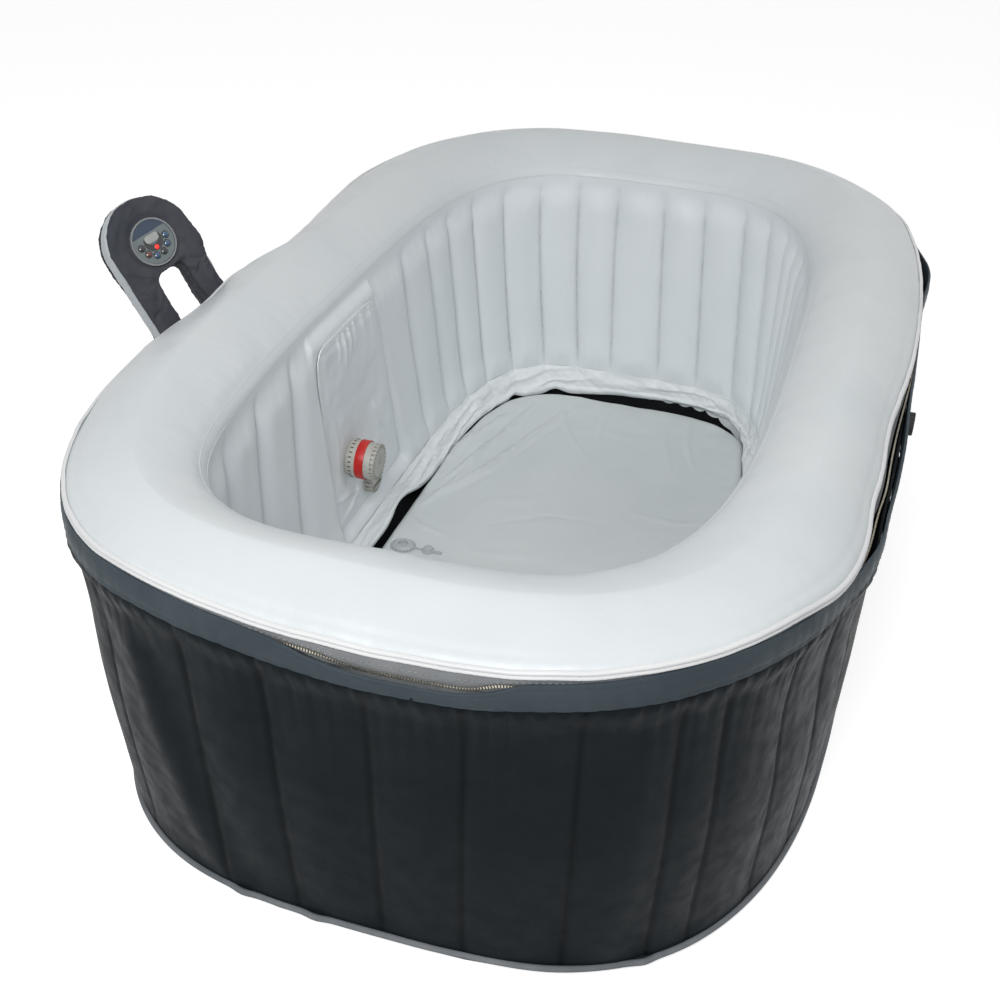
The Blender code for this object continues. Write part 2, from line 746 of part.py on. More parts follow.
def inner_size(height):
    """Half width, half length and power of the inner wall's seam line at a height."""
    share = 1 - height / RIM_BASE_HEIGHT
    power = INNER_POWER + (WALL_FOOT_POWER - INNER_POWER) * share
    return INNER_HALF_WIDTH - WALL_TAPER * share, INNER_HALF_LENGTH, power


def beside_panel(index):
    """Whether a point of the inner wall's loops lies behind the equipment panel at any height."""
    for height in (CHANNEL_FOOT_HEIGHT, RIM_BASE_HEIGHT - CHANNEL_TOP_DROP):
        x, y = outline(*inner_size(height), [WALL_ANGLES[index]])[0]
        if x < 0 and PANEL_LOW_Y - PANEL_MARGIN < y < PANEL_HIGH_Y + PANEL_MARGIN:
            return True
    return False


def wall_inner_row(height, bulge, flat_face=True):
    """A loop of the inner wall: channels bulge in, and the equipment panel's stretch is flat."""
    half_width, half_length, power = inner_size(height)
    seam = outline(half_width, half_length, power, WALL_ANGLES)
    crown = outline(half_width - bulge, half_length - bulge, power, WALL_ANGLES)
    row = []
    for i in range(WALL_STEPS):
        x, y = crown[i] if i % STEPS_PER_CHANNEL else seam[i]
        if flat_face and beside_panel(i):
            x = -SKIN_FACE
        row.append((x, y, height))
    return row


def wall_outer_row(height):
    """A loop of the air wall's hidden outer face, just inside the jacket."""
    half_width, half_length, power = jacket_size(height)
    inset = JACKET_THICKNESS + WALL_EASE
    points = outline(half_width - inset, half_length - inset, power, WALL_ANGLES)
    return [(x, y, height) for x, y in points]


def make_air_wall(finishes):
    """The channelled air wall, with the pocket for the control unit cut out from outside."""
    top = RIM_BASE_HEIGHT - GAP
    inner = [
        wall_inner_row(WALL_FOOT, 0.0),
        wall_inner_row(CHANNEL_FOOT_HEIGHT, CHANNEL_DEPTH),
        wall_inner_row(top - CHANNEL_TOP_DROP, CHANNEL_DEPTH),
        wall_inner_row(top, 0.0, False),
    ]
    outer = [wall_outer_row(top), wall_outer_row(top / 2), wall_outer_row(WALL_FOOT)]
    wall = ring("channel_wall", inner + outer, finishes["vinyl"])
    pocket = box(
        "unit_pocket",
        (-HALF_WIDTH - CUT_OVERRUN, UNIT_LOW_Y - POCKET_MARGIN, -CUT_OVERRUN),
        (-SKIN_BACK, UNIT_HIGH_Y + POCKET_MARGIN, WALL_FOOT + UNIT_HEIGHT + POCKET_ROOM_ABOVE),
        finishes["vinyl"],
    )
    cut(wall, hide_cutter(pocket))
    for cutter in make_spigot_cutters(finishes):
        cut(wall, cutter)


def make_spigot_cutters(finishes):
    """Round cutters through the wall's skin, the panel and the unit's front for both spigots."""
    cutters = []
    places = (("inlet_hole", FILTER_PLACE_Y, FILTER_PLACE_Z), ("outlet_hole", OUTLET_PLACE_Y, OUTLET_PLACE_Z))
    for name, y, z in places:
        if name in bpy.data.objects:
            cutters.append(bpy.data.objects[name])
            continue
        profile = disc_profile(SPIGOT_RADIUS + GAP, -SPIGOT_REACH, CUT_OVERRUN)
        hole = turned(name, profile, finishes["vinyl"], along_x(-PANEL_FACE, y, z), FINE_STEPS, False)
        cutters.append(hide_cutter(hole))
    return cutters


def make_panel(finishes):
    """The flat welded panel that carries the inlet and the outlet."""
    width, height = PANEL_HIGH_Y - PANEL_LOW_Y, PANEL_HIGH_Z - PANEL_LOW_Z
    middle = ((PANEL_LOW_Y + PANEL_HIGH_Y) / 2, (PANEL_LOW_Z + PANEL_HIGH_Z) / 2)
    across = Matrix(((0, 0, 1, -PANEL_BACK), (1, 0, 0, middle[0]), (0, 1, 0, middle[1]), (0, 0, 0, 1)))
    shape = rounded_box(width, height, PANEL_CORNER)
    panel = flat("equipment_panel", [shape], PANEL_THICKNESS, finishes["vinyl"], across)
    for cutter in make_spigot_cutters(finishes):
        cut(panel, cutter)


# Floor

def inner_ring_row(height, inset):
    """A loop inside the wall, drawn in the outer steps."""
    half_width, half_length, power = inner_size(height)
    points = outline(half_width - inset, half_length - inset, power, OUTER_ANGLES)
    return [(x, y, height) for x, y in points]


def pad_row(height, inset):
    """A loop of the mat, or of something round it."""
    points = outline(PAD_WIDTH / 2 - inset, PAD_LENGTH / 2 - inset, PAD_POWER, OUTER_ANGLES)
    return [(x, y, height) for x, y in points]


def make_floor(finishes):
    """The liner's floor sheet, the skirt, the bubble hose under it and the inflated mat."""
    half_width, half_length, power = jacket_size(0.0)
    low = BASE_THICKNESS + GAP
    inset = JACKET_THICKNESS + WALL_EASE
    rows = [outer_row(z, half_width - inset, half_length - inset, power) for z in (low, FLOOR_TOP)]
    stack("floor_sheet", rows, finishes["vinyl"])

    skirt_top = WALL_FOOT + SKIRT_HEIGHT
    rows = [
        pad_row(WALL_FOOT, -SKIRT_PAD_GAP - SKIRT_THICKNESS),
        inner_ring_row(skirt_top, SKIRT_TOP_INSET),
        inner_ring_row(skirt_top, SKIRT_TOP_INSET + SKIRT_THICKNESS),
        pad_row(WALL_FOOT, -SKIRT_PAD_GAP),
    ]
    ring("floor_skirt", rows, finishes["vinyl"])

    section = []
    for i in range(HOSE_SIDES):
        turn = 2 * math.pi * i / HOSE_SIDES
        height = WALL_FOOT + HOSE_RADIUS * (1 + math.sin(turn))
        section.append(inner_ring_row(height, HOSE_INSET + HOSE_RADIUS * math.cos(turn)))
    ring("bubble_hose", section, finishes["hose"])

    edge = PAD_EDGE_RADIUS
    shape = [
        (WALL_FOOT, edge * 0.6),
        (WALL_FOOT + edge, 0.0),
        (PAD_TOP - edge * 0.6, edge * 0.1),
        (PAD_TOP, edge * 0.8),
    ]
    stack("floor_pad", [pad_row(height, inset) for height, inset in shape], finishes["mat"])


def make_mat_valve(finishes):
    """The mat's clear valve on its welded patch, with a cap that folds over into the bore."""
    x, y = VALVE_PLACE
    base = PAD_TOP + GAP
    place = Matrix.Translation((x, y, base))
    patch = disc_profile(PATCH_RADIUS, 0.0, PATCH_THICKNESS)
    turned("mat_valve_patch", patch, finishes["mat"], place, FINE_STEPS, False)
    top = base + PATCH_THICKNESS + GAP
    place = Matrix.Translation((x, y, top))
    seat = VALVE_HEIGHT * VALVE_SEAT_SHARE
    profile = [
        (VALVE_BORE, VALVE_HEIGHT),
        (VALVE_RADIUS * 0.72, VALVE_HEIGHT),
        (VALVE_RADIUS, seat),
        (VALVE_RADIUS, 0.0),
        (VALVE_BORE, 0.0),
    ]
    turned("mat_valve_body", profile, finishes["clear"], place, FINE_STEPS)

    hinge_x = x + PATCH_RADIUS + GAP
    cap_x = hinge_x + PATCH_RADIUS + GAP
    plug = [
        (0.0, CAP_THICKNESS + CAP_PLUG_DEPTH),
        (CAP_PLUG_RADIUS, CAP_THICKNESS + CAP_PLUG_DEPTH),
        (CAP_PLUG_RADIUS, CAP_THICKNESS),
        (CAP_RADIUS, CAP_THICKNESS),
        (CAP_RADIUS, 0.0),
        (0.0, 0.0),
    ]
    place = Matrix.Translation((cap_x, y, base))
    cap = turned("mat_valve_cap", plug, finishes["clear"], place, ROUND_STEPS, False)
    tab_low = cap_x + CAP_RADIUS * 0.9
    tab = box(
        "cap_tab",
        (tab_low, y - CAP_TAB_WIDTH / 2, base + TETHER_THICKNESS * 0.2),
        (tab_low + CAP_TAB_LENGTH, y + CAP_TAB_WIDTH / 2, base + TETHER_THICKNESS),
        finishes["clear"],
    )
    cut(cap, hide_cutter(tab), "UNION")
    tether = box(
        "cap_tether",
        (hinge_x, y - TETHER_WIDTH / 2, base + TETHER_THICKNESS * 0.2),
        (cap_x - CAP_RADIUS * 0.9, y + TETHER_WIDTH / 2, base + TETHER_THICKNESS),
        finishes["clear"],
    )
    cut(cap, hide_cutter(tether), "UNION")
    fold_height = (base + top + VALVE_HEIGHT + GAP + CAP_THICKNESS) / 2
    hang_on("mat_cap_fold", (hinge_x, y, fold_height), cap)


# Inlet, outlet, filter

def make_fittings(finishes):
    """The inlet and outlet fittings with their nuts, which clamp the panel and the skin."""
    inlet = (FILTER_PLACE_Y, FILTER_PLACE_Z)
    outlet = (OUTLET_PLACE_Y, OUTLET_PLACE_Z)
    for name, (y, z) in (("inlet_fitting", inlet), ("outlet_fitting", outlet)):
        place = along_x(-PANEL_FACE + GAP, y, z)
        profile = [
            (FLANGE_RADIUS, FLANGE_THICKNESS),
            (FLANGE_RADIUS, 0.0),
            (SPIGOT_RADIUS, 0.0),
            (SPIGOT_RADIUS, -SPIGOT_REACH),
            (SPIGOT_BORE, -SPIGOT_REACH),
            (SPIGOT_BORE, FLANGE_THICKNESS),
        ]
        turned(name, profile, finishes["moulding"], place, FINE_STEPS)
    low = -SKIN_BACK - GAP - NUT_THICKNESS
    for name, (y, z) in (("inlet_nut", inlet), ("outlet_nut", outlet)):
        outside = circle(NUT_RADIUS, NUT_SIDES)
        hole = circle(SPIGOT_RADIUS + GAP, FINE_STEPS)
        flat(name, [outside, hole], NUT_THICKNESS, finishes["moulding"], along_x(low, y, z))


def notched_outline(radius, notches, depth):
    """A circle with square notches round its edge."""
    points = []
    for i in range(notches):
        start = 2 * math.pi * i / notches
        step = 2 * math.pi / notches
        for share, r in ((0.0, radius), (0.55, radius), (0.55, radius - depth), (1.0, radius - depth)):
            turn = start + step * share
            points.append((r * math.cos(turn), r * math.sin(turn)))
    return points


def make_filter(finishes):
    """The filter that slides off the inlet, with its bare band, pleats and turning cap."""
    y, z = FILTER_PLACE_Y, FILTER_PLACE_Z
    start = -PANEL_FACE + GAP + FLANGE_THICKNESS + GAP
    place = along_x(start, y, z)
    end_radius = FILTER_RADIUS - FILTER_TAPER
    shell = [
        (end_radius, FILTER_LENGTH),
        (FILTER_RADIUS, 0.0),
        (CARTRIDGE_BORE, 0.0),
        (CARTRIDGE_BORE, FILTER_WALL),
        (FILTER_RADIUS - FILTER_WALL, FILTER_WALL),
        (end_radius - FILTER_WALL, FILTER_LENGTH),
    ]
    turned("filter_shell", shell, finishes["moulding"], place, FINE_STEPS)

    low = FILTER_LENGTH * FILTER_BAND_START_SHARE
    high = low + FILTER_BAND_WIDTH
    grow = FILTER_BAND_THICKNESS
    radius_low = FILTER_RADIUS - FILTER_TAPER * low / FILTER_LENGTH + GAP
    radius_high = FILTER_RADIUS - FILTER_TAPER * high / FILTER_LENGTH + GAP
    band = [(radius_high + grow, high), (radius_low + grow, low), (radius_low, low), (radius_high, high)]
    turned("filter_band", band, finishes["red"], place, FINE_STEPS)

    outer = end_radius - FILTER_WALL - GAP * 3
    star = []
    for i in range(CARTRIDGE_PLEATS * 2):
        turn = math.pi * i / CARTRIDGE_PLEATS
        radius = outer if i % 2 else CARTRIDGE_INNER_RADIUS
        star.append((radius * math.cos(turn), radius * math.sin(turn)))
    hole = circle(CARTRIDGE_BORE, ROUND_STEPS)
    length = FILTER_LENGTH - FILTER_WALL - GAP * 2
    inner_place = along_x(start + FILTER_WALL + GAP, y, z)
    flat("filter_cartridge", [star, hole], length, finishes["paper"], inner_place)

    cap_place = along_x(start + FILTER_LENGTH + GAP, y, z)
    rim = notched_outline(end_radius, FILTER_CAP_NOTCHES, NOTCH_DEPTH)
    cap = flat("filter_cap", [rim], FILTER_CAP_LENGTH, finishes["moulding"], cap_place)
    dimple = turned(
        "cap_dimple",
        disc_profile(CAP_DIMPLE_RADIUS, FILTER_CAP_LENGTH - CAP_DIMPLE_DEPTH, FILTER_CAP_LENGTH + CUT_OVERRUN),
        finishes["moulding"], cap_place, BUTTON_STEPS, False,
    )
    cut(cap, hide_cutter(dimple))

    cap_place = along_x(start, OUTLET_PLACE_Y, OUTLET_PLACE_Z)
    rim = notched_outline(OUTLET_CAP_RADIUS, OUTLET_CAP_NOTCHES, NOTCH_DEPTH)
    cap = flat("outlet_cap", [rim], OUTLET_CAP_THICKNESS, finishes["moulding"], cap_place)
    slot_low, slot_high = OUTLET_CAP_RADIUS * 0.35, OUTLET_CAP_RADIUS * 0.62
    slot = box(
        "jet_slot",
        (start - CUT_OVERRUN, OUTLET_PLACE_Y - slot_high, OUTLET_PLACE_Z - slot_high),
        (start + OUTLET_CAP_THICKNESS + CUT_OVERRUN, OUTLET_PLACE_Y + slot_high, OUTLET_PLACE_Z - slot_low),
        finishes["moulding"],
    )
    cut(cap, hide_cutter(slot))


# Control unit

def make_unit(finishes):
    """The pump, heater and blower unit inside its two shells."""
    make_unit_shells(finishes)
    rear = -UNIT_REAR + UNIT_WALL + GAP
    pump_y, pump_z = PUMP_PLACE
    place = along_x(rear, pump_y, pump_z)
    shaft_end = MOTOR_LENGTH + GAP + VOLUTE_WALL + IMPELLER_THICKNESS
    motor = [
        (0.0, shaft_end),
        (MOTOR_SHAFT_RADIUS, shaft_end),
        (MOTOR_SHAFT_RADIUS, MOTOR_LENGTH),
        (MOTOR_RADIUS, MOTOR_LENGTH),
        (MOTOR_RADIUS, 0.0),
        (0.0, 0.0),
    ]
    turned("pump_motor", motor, finishes["motor"], place, ROUND_STEPS, False)
    volute_low = MOTOR_LENGTH + GAP
    volute_high = volute_low + VOLUTE_DEPTH
    shaft_hole = MOTOR_SHAFT_RADIUS + SHAFT_CLEARANCE
    volute = [
        (VOLUTE_RADIUS, volute_high),
        (VOLUTE_RADIUS, volute_low),
        (shaft_hole, volute_low),
        (shaft_hole, volute_low + VOLUTE_WALL),
        (VOLUTE_RADIUS - VOLUTE_WALL, volute_low + VOLUTE_WALL),
        (VOLUTE_RADIUS - VOLUTE_WALL, volute_high),
    ]
    turned("pump_volute", volute, finishes["dark"], place, ROUND_STEPS)
    cover = tube_profile(VOLUTE_RADIUS, PIPE_RADIUS, volute_high + GAP, volute_high + GAP + COVER_THICKNESS)
    turned("pump_cover", cover, finishes["dark"], place, ROUND_STEPS)
    wheel = vane_outline(IMPELLER_RADIUS, IMPELLER_VANES)
    bore = circle(shaft_hole, BUTTON_STEPS)
    wheel_place = along_x(rear + volute_low + VOLUTE_WALL + GAP, pump_y, pump_z)
    flat("pump_impeller", [wheel, bore], IMPELLER_THICKNESS, finishes["pale"], wheel_place)

    fan_y, fan_z = BLOWER_PLACE
    place = along_x(rear, fan_y, fan_z)
    fan_low = BLOWER_WALL + GAP
    shaft_top = fan_low + FAN_THICKNESS
    case = [
        (0.0, shaft_top),
        (FAN_SHAFT_RADIUS, shaft_top),
        (FAN_SHAFT_RADIUS, BLOWER_WALL),
        (BLOWER_RADIUS - BLOWER_WALL, BLOWER_WALL),
        (BLOWER_RADIUS - BLOWER_WALL, BLOWER_DEPTH),
        (BLOWER_RADIUS, BLOWER_DEPTH),
        (BLOWER_RADIUS, 0.0),
        (0.0, 0.0),
    ]
    turned("blower_case", case, finishes["dark"], place, ROUND_STEPS, False)
    wheel = vane_outline(FAN_RADIUS, FAN_VANES)
    bore = circle(FAN_SHAFT_RADIUS + SHAFT_CLEARANCE, BUTTON_STEPS)
    flat("blower_fan", [wheel, bore], FAN_THICKNESS, finishes["pale"], along_x(rear + fan_low, fan_y, fan_z))

    heater_x = rear + HEATER_RADIUS
    heater_place = Matrix.Translation((heater_x, HEATER_START_Y, HEATER_HEIGHT))
    heater_place = heater_place @ Matrix.Rotation(math.radians(-90), 4, "X")
    heater = [
        (PIPE_RADIUS, HEATER_LENGTH),
        (HEATER_RADIUS, HEATER_LENGTH * 0.9),
        (HEATER_RADIUS, HEATER_LENGTH * 0.1),
        (PIPE_RADIUS, 0.0),
        (0.0, 0.0),
    ]
    turned("heater_tube", [(0.0, HEATER_LENGTH)] + heater, finishes["steel"], heater_place, ROUND_STEPS, False)

    board_y, board_z = BOARD_PLACE
    box(
        "circuit_board",
        (rear, board_y, board_z),
        (rear + BOARD_THICKNESS, board_y + BOARD_LENGTH, board_z + BOARD_HEIGHT),
        finishes["board"],
    )
    make_pipes(finishes, rear, volute_high)


def vane_outline(radius, vanes):
    """Outline of a hub with straight radial vanes."""
    hub = radius * HUB_SHARE
    points = []
    for i in range(vanes):
        middle = 2 * math.pi * i / vanes
        half = math.pi / vanes * VANE_SHARE
        tip = half * HUB_SHARE * 2
        points.append((hub * math.cos(middle - half), hub * math.sin(middle - half)))
        points.append((radius * math.cos(middle - tip), radius * math.sin(middle - tip)))
        points.append((radius * math.cos(middle + tip), radius * math.sin(middle + tip)))
        points.append((hub * math.cos(middle + half), hub * math.sin(middle + half)))
    return points


def make_unit_shells(finishes):
    """The rear and front halves of the unit's shell, each open towards the other."""
    split = -UNIT_FRONT - UNIT_DEPTH * UNIT_SPLIT_SHARE
    low, high = WALL_FOOT, WALL_FOOT + UNIT_HEIGHT
    wall = UNIT_WALL
    halves = (
        ("unit_shell_rear", -UNIT_REAR, split - GAP / 2, -UNIT_REAR + wall, split + CUT_OVERRUN),
        ("unit_shell_front", split + GAP / 2, -UNIT_FRONT, split - CUT_OVERRUN, -UNIT_FRONT - wall),
    )
    for name, x0, x1, hollow0, hollow1 in halves:
        shell = box(name, (x0, UNIT_LOW_Y, low), (x1, UNIT_HIGH_Y, high), finishes["dark"])
        hollow = box(
            name + "_hollow",
            (hollow0, UNIT_LOW_Y + wall, low + wall),
            (hollow1, UNIT_HIGH_Y - wall, high - wall),
            finishes["dark"],
        )
        cut(shell, hide_cutter(hollow))
        if name == "unit_shell_front":
            for cutter in make_spigot_cutters(finishes):
                cut(shell, cutter)


def make_pipes(finishes, rear, volute_high):
    """Suction from the inlet to the pump, pump to heater, and heater back to the outlet."""
    pump_y, pump_z = PUMP_PLACE
    spigot_end = -PANEL_FACE + GAP - SPIGOT_REACH - GAP
    cover_face = rear + volute_high + GAP + COVER_THICKNESS + GAP
    bend = PIPE_BEND
    room = (cover_face + spigot_end) / 2
    rise = FILTER_PLACE_Z - pump_z
    pipe(
        "suction_pipe",
        [
            (cover_face, pump_y, pump_z),
            (cover_face + PIPE_RADIUS, pump_y, pump_z),
            (room, pump_y + bend / 2, pump_z + bend),
            (room, (pump_y + FILTER_PLACE_Y) / 2, pump_z + rise / 2),
            (room, FILTER_PLACE_Y - bend / 2, FILTER_PLACE_Z - bend),
            (spigot_end - PIPE_RADIUS, FILTER_PLACE_Y, FILTER_PLACE_Z),
            (spigot_end, FILTER_PLACE_Y, FILTER_PLACE_Z),
        ],
        PIPE_RADIUS, finishes["pipe"],
    )
    heater_x = rear + HEATER_RADIUS
    volute_top = pump_z + VOLUTE_RADIUS + GAP
    volute_x = rear + volute_high - VOLUTE_DEPTH / 2
    heater_near = HEATER_START_Y - GAP
    pipe(
        "pump_pipe",
        [
            (volute_x, pump_y, volute_top),
            (volute_x, pump_y, volute_top + PIPE_RADIUS),
            (volute_x, pump_y + bend / 3, volute_top + PIPE_RADIUS + bend),
            (heater_x, heater_near - HEATER_BEND, HEATER_HEIGHT - bend / 3),
            (heater_x, heater_near - PIPE_RADIUS, HEATER_HEIGHT),
            (heater_x, heater_near, HEATER_HEIGHT),
        ],
        PIPE_RADIUS, finishes["pipe"],
    )
    heater_far = HEATER_START_Y + HEATER_LENGTH + GAP
    pipe(
        "return_pipe",
        [
            (heater_x, heater_far, HEATER_HEIGHT),
            (heater_x, heater_far + PIPE_RADIUS, HEATER_HEIGHT),
            (heater_x + bend, heater_far + bend, HEATER_HEIGHT - bend / 2),
            (room - bend, heater_far, (HEATER_HEIGHT + OUTLET_PLACE_Z) / 2),
            (room, OUTLET_PLACE_Y + bend, OUTLET_PLACE_Z + bend / 2),
            (spigot_end - PIPE_RADIUS, OUTLET_PLACE_Y, OUTLET_PLACE_Z),
            (spigot_end, OUTLET_PLACE_Y, OUTLET_PLACE_Z),
        ],
        PIPE_RADIUS, finishes["pipe"],
    )


# Control arch

def arch_frame(depth=0.0):
    """A frame on the arch's front face: X across, Y up the arch, Z out of the face."""
    up = Vector((-math.sin(ARCH_LEAN), 0.0, math.cos(ARCH_LEAN)))
    facing = Vector((math.cos(ARCH_LEAN), 0.0, math.sin(ARCH_LEAN)))
    side = Vector((0.0, 1.0, 0.0))
    out = facing * math.cos(ARCH_TWIST) - side * math.sin(ARCH_TWIST)
    across = side * math.cos(ARCH_TWIST) + facing * math.sin(ARCH_TWIST)
    turn = Matrix((across, up, out)).transposed().to_4x4()
    return Matrix.Translation(Vector(ARCH_HEAD) + out * depth) @ turn


def arch_outline(inset=0.0):
    """The arch from the front: a round head on two legs, with the hand gap between them."""
    half = ARCH_HALF_WIDTH - inset
    gap_half = ARCH_HALF_WIDTH - ARCH_LEG_WIDTH + inset
    top = -ARCH_HOLE_DROP + inset
    corner = ARCH_HOLE_CORNER
    points = arc(0.0, 0.0, half, 0.0, math.pi, ARC_STEPS)
    points += [(-half, -ARCH_LEG_LENGTH), (-gap_half, -ARCH_LEG_LENGTH)]
    points += arc(-gap_half + corner, top - corner, corner, math.pi, math.pi / 2, 3)
    points += arc(gap_half - corner, top - corner, corner, math.pi / 2, 0.0, 3)
    points += [(gap_half, -ARCH_LEG_LENGTH), (half, -ARCH_LEG_LENGTH)]
    return points


def make_arch(finishes):
    """The arch in three layers, cut to the jacket's face, and the bracket behind the jacket."""
    bottom = BASE_THICKNESS + GAP
    rows = [jacket_row(-CUT_OVERRUN, -GAP * 2)]
    for share in JACKET_LEVEL_SHARES:
        rows.append(jacket_row(bottom + (JACKET_TOP - bottom) * share, -GAP * 2))
    rows.append(outer_row(TUB_HEIGHT, HALF_WIDTH + GAP * 2, HALF_LENGTH + GAP * 2))
    footprint = hide_cutter(stack("jacket_footprint", rows, finishes["jacket"]))

    band_front = -ARCH_FACE_THICKNESS - GAP
    back_front = band_front - ARCH_BAND_THICKNESS - GAP
    layers = (
        ("arch_face", 0.0, ARCH_FACE_THICKNESS, ARCH_FACE_INSET, ARCH_FACE_EDGE, "cover"),
        ("arch_band", band_front, ARCH_BAND_THICKNESS, 0.0, 0.0, "side"),
        ("arch_back", back_front, ARCH_BACK_THICKNESS, ARCH_FACE_INSET, ARCH_BACK_EDGE, "cover"),
    )
    for name, front, thickness, inset, edge, finish in layers:
        layer = flat(name, [arch_outline(inset)], thickness, finishes[finish], arch_frame(front - thickness))
        if edge:
            bevel = layer.modifiers.new("soft_edge", "BEVEL")
            bevel.width = edge
            bevel.segments = 2
            bevel.limit_method = "ANGLE"
            bevel.angle_limit = math.radians(60)
        cut(layer, footprint)

    low = WALL_FOOT + UNIT_HEIGHT - ARCH_BRACKET_DROP
    near = UNIT_LOW_Y + ARCH_BRACKET_END_ROOM
    box(
        "arch_bracket",
        (-UNIT_REAR - GAP - ARCH_BRACKET_THICKNESS, near, low),
        (-UNIT_REAR - GAP, near + ARCH_HALF_WIDTH * 2, low + ARCH_BRACKET_LENGTH),
        finishes["steel"],
    )


def make_control_panel(finishes):
    """The round panel on the arch's face, with its window, lens and buttons."""
    face = arch_frame(GAP)
    turned(
        "panel_bezel",
        tube_profile(PLATE_RADIUS + GAP + BEZEL_WIDTH, PLATE_RADIUS + GAP * 2, 0.0, BEZEL_HEIGHT),
        finishes["bezel"], face, FINE_STEPS,
    )
    places = []
    for i in range(ROUND_BUTTONS):
        turn = BUTTON_FIRST_ANGLE + (BUTTON_LAST_ANGLE - BUTTON_FIRST_ANGLE) * i / (ROUND_BUTTONS - 1)
        x = BUTTON_RING_RADIUS * math.cos(turn)
        y = BUTTON_RING_RISE + BUTTON_RING_RADIUS * math.sin(turn)
        places.append(("button_%d" % (i + 1), x, y, BUTTON_RADIUS))
    places.append(("button_centre", 0.0, CENTRE_BUTTON_RISE, CENTRE_BUTTON_RADIUS))
    holes = [circle(radius + BUTTON_CLEARANCE, BUTTON_STEPS, x, y) for _, x, y, radius in places]
    plate = [circle(PLATE_RADIUS, FINE_STEPS)] + holes
    flat("panel_plate", plate, PLATE_THICKNESS, finishes["plate"], face)

    top = GAP + PLATE_THICKNESS + BUTTON_PROUD
    for name, x, y, radius in places:
        low = top - BUTTON_HEIGHT
        place = arch_frame(low) @ Matrix.Translation((x, y, 0.0))
        dome = radius * 0.55
        shoulder = BUTTON_HEIGHT * 0.82
        profile = [(0.0, BUTTON_HEIGHT), (dome, BUTTON_HEIGHT), (radius, shoulder), (radius, 0.0), (0.0, 0.0)]
        turned(name, profile, finishes["button"], place, BUTTON_STEPS, False)

    top_face = arch_frame(GAP + PLATE_THICKNESS + GAP)
    window_place = top_face @ Matrix.Translation((0.0, WINDOW_RISE, 0.0))
    shape = rounded_box(WINDOW_WIDTH, WINDOW_HEIGHT, WINDOW_HEIGHT * 0.2, 2)
    flat("display_window", [shape], WINDOW_THICKNESS, finishes["window"], window_place)

    flat("crescent_lens", lens_outlines(), LENS_THICKNESS, finishes["lens"], top_face)


def lens_outlines():
    """A crescent between two circles, with a hole for the centre button."""
    rise = LENS_INNER_RISE - LENS_OUTER_RISE
    meet = (LENS_OUTER_RADIUS ** 2 - LENS_INNER_RADIUS ** 2 + rise ** 2) / (2 * rise)
    outer_turn = math.asin(meet / LENS_OUTER_RADIUS)
    inner_turn = math.asin((meet - rise) / LENS_INNER_RADIUS)
    under = arc(0.0, LENS_OUTER_RISE, LENS_OUTER_RADIUS, math.pi - outer_turn, 2 * math.pi + outer_turn, 16)
    over = arc(0.0, LENS_INNER_RISE, LENS_INNER_RADIUS, 2 * math.pi + inner_turn, math.pi - inner_turn, 16)
    hole = circle(CENTRE_BUTTON_RADIUS + BUTTON_CLEARANCE, BUTTON_STEPS, 0.0, CENTRE_BUTTON_RISE)
    return [under + over[1:-1], hole]


# Valves on the jacket

def make_jacket_valves(finishes):
    """The drain at the far end and the air valve on the right side, each with a screw cap."""
    lift = GAP
    quarter = OUTER_ANGLES[OUTER_STEPS // 4 + 1]
    side = OUTER_ANGLES[1]
    sets = (
        ("drain_valve", "drain_cap", quarter, DRAIN_HEIGHT, DRAIN_RADIUS, DRAIN_THICKNESS, DRAIN_NECK_RADIUS,
         DRAIN_NECK_LENGTH, DRAIN_CAP_RADIUS, DRAIN_CAP_LENGTH),
        ("air_valve", "air_valve_cap", side, AIR_VALVE_HEIGHT, AIR_VALVE_RADIUS, AIR_VALVE_THICKNESS,
         AIR_VALVE_NECK_RADIUS, AIR_VALVE_NECK_LENGTH, AIR_CAP_RADIUS, AIR_CAP_LENGTH),
    )
    for valve, cap, angle, height, radius, thickness, neck, neck_length, cap_radius, cap_length in sets:
        place = jacket_surface(angle, height, lift)
        top = thickness + neck_length
        bore = neck * 0.7
        body = [
            (0.0, thickness),
            (bore, thickness),
            (bore, top),
            (neck, top),
            (neck, thickness),
            (radius, thickness),
            (radius, 0.0),
            (0.0, 0.0),
        ]
        turned(valve, body, finishes["dark"], place, ROUND_STEPS, False)
        low = thickness + GAP
        inner = neck + GAP * 2
        shell = [(0.0, low + cap_length), (cap_radius, low + cap_length), (cap_radius, low), (inner, low),
                 (inner, top + GAP), (0.0, top + GAP)]
        turned(cap, shell, finishes["dark"], place, ROUND_STEPS, False)


def shade_round_pieces():
    """Do every mesh part's modifiers, then make its round faces smooth and keep its edges sharp."""
    bpy.context.view_layer.update()
    graph = bpy.context.evaluated_depsgraph_get()
    parts = [part for part in collection("inflatable_hot_tub").objects if part.type == "MESH"]
    done = [bpy.data.meshes.new_from_object(part.evaluated_get(graph)) for part in parts]
    for part, data in zip(parts, done):
        part.modifiers.clear()
        part.data = data
        data.shade_smooth()
        data.set_sharp_from_angle(angle=SHARP_ANGLE)


def clear_scene():
    """Remove whatever the file started with."""
    for thing in list(bpy.data.objects):
        bpy.data.objects.remove(thing)


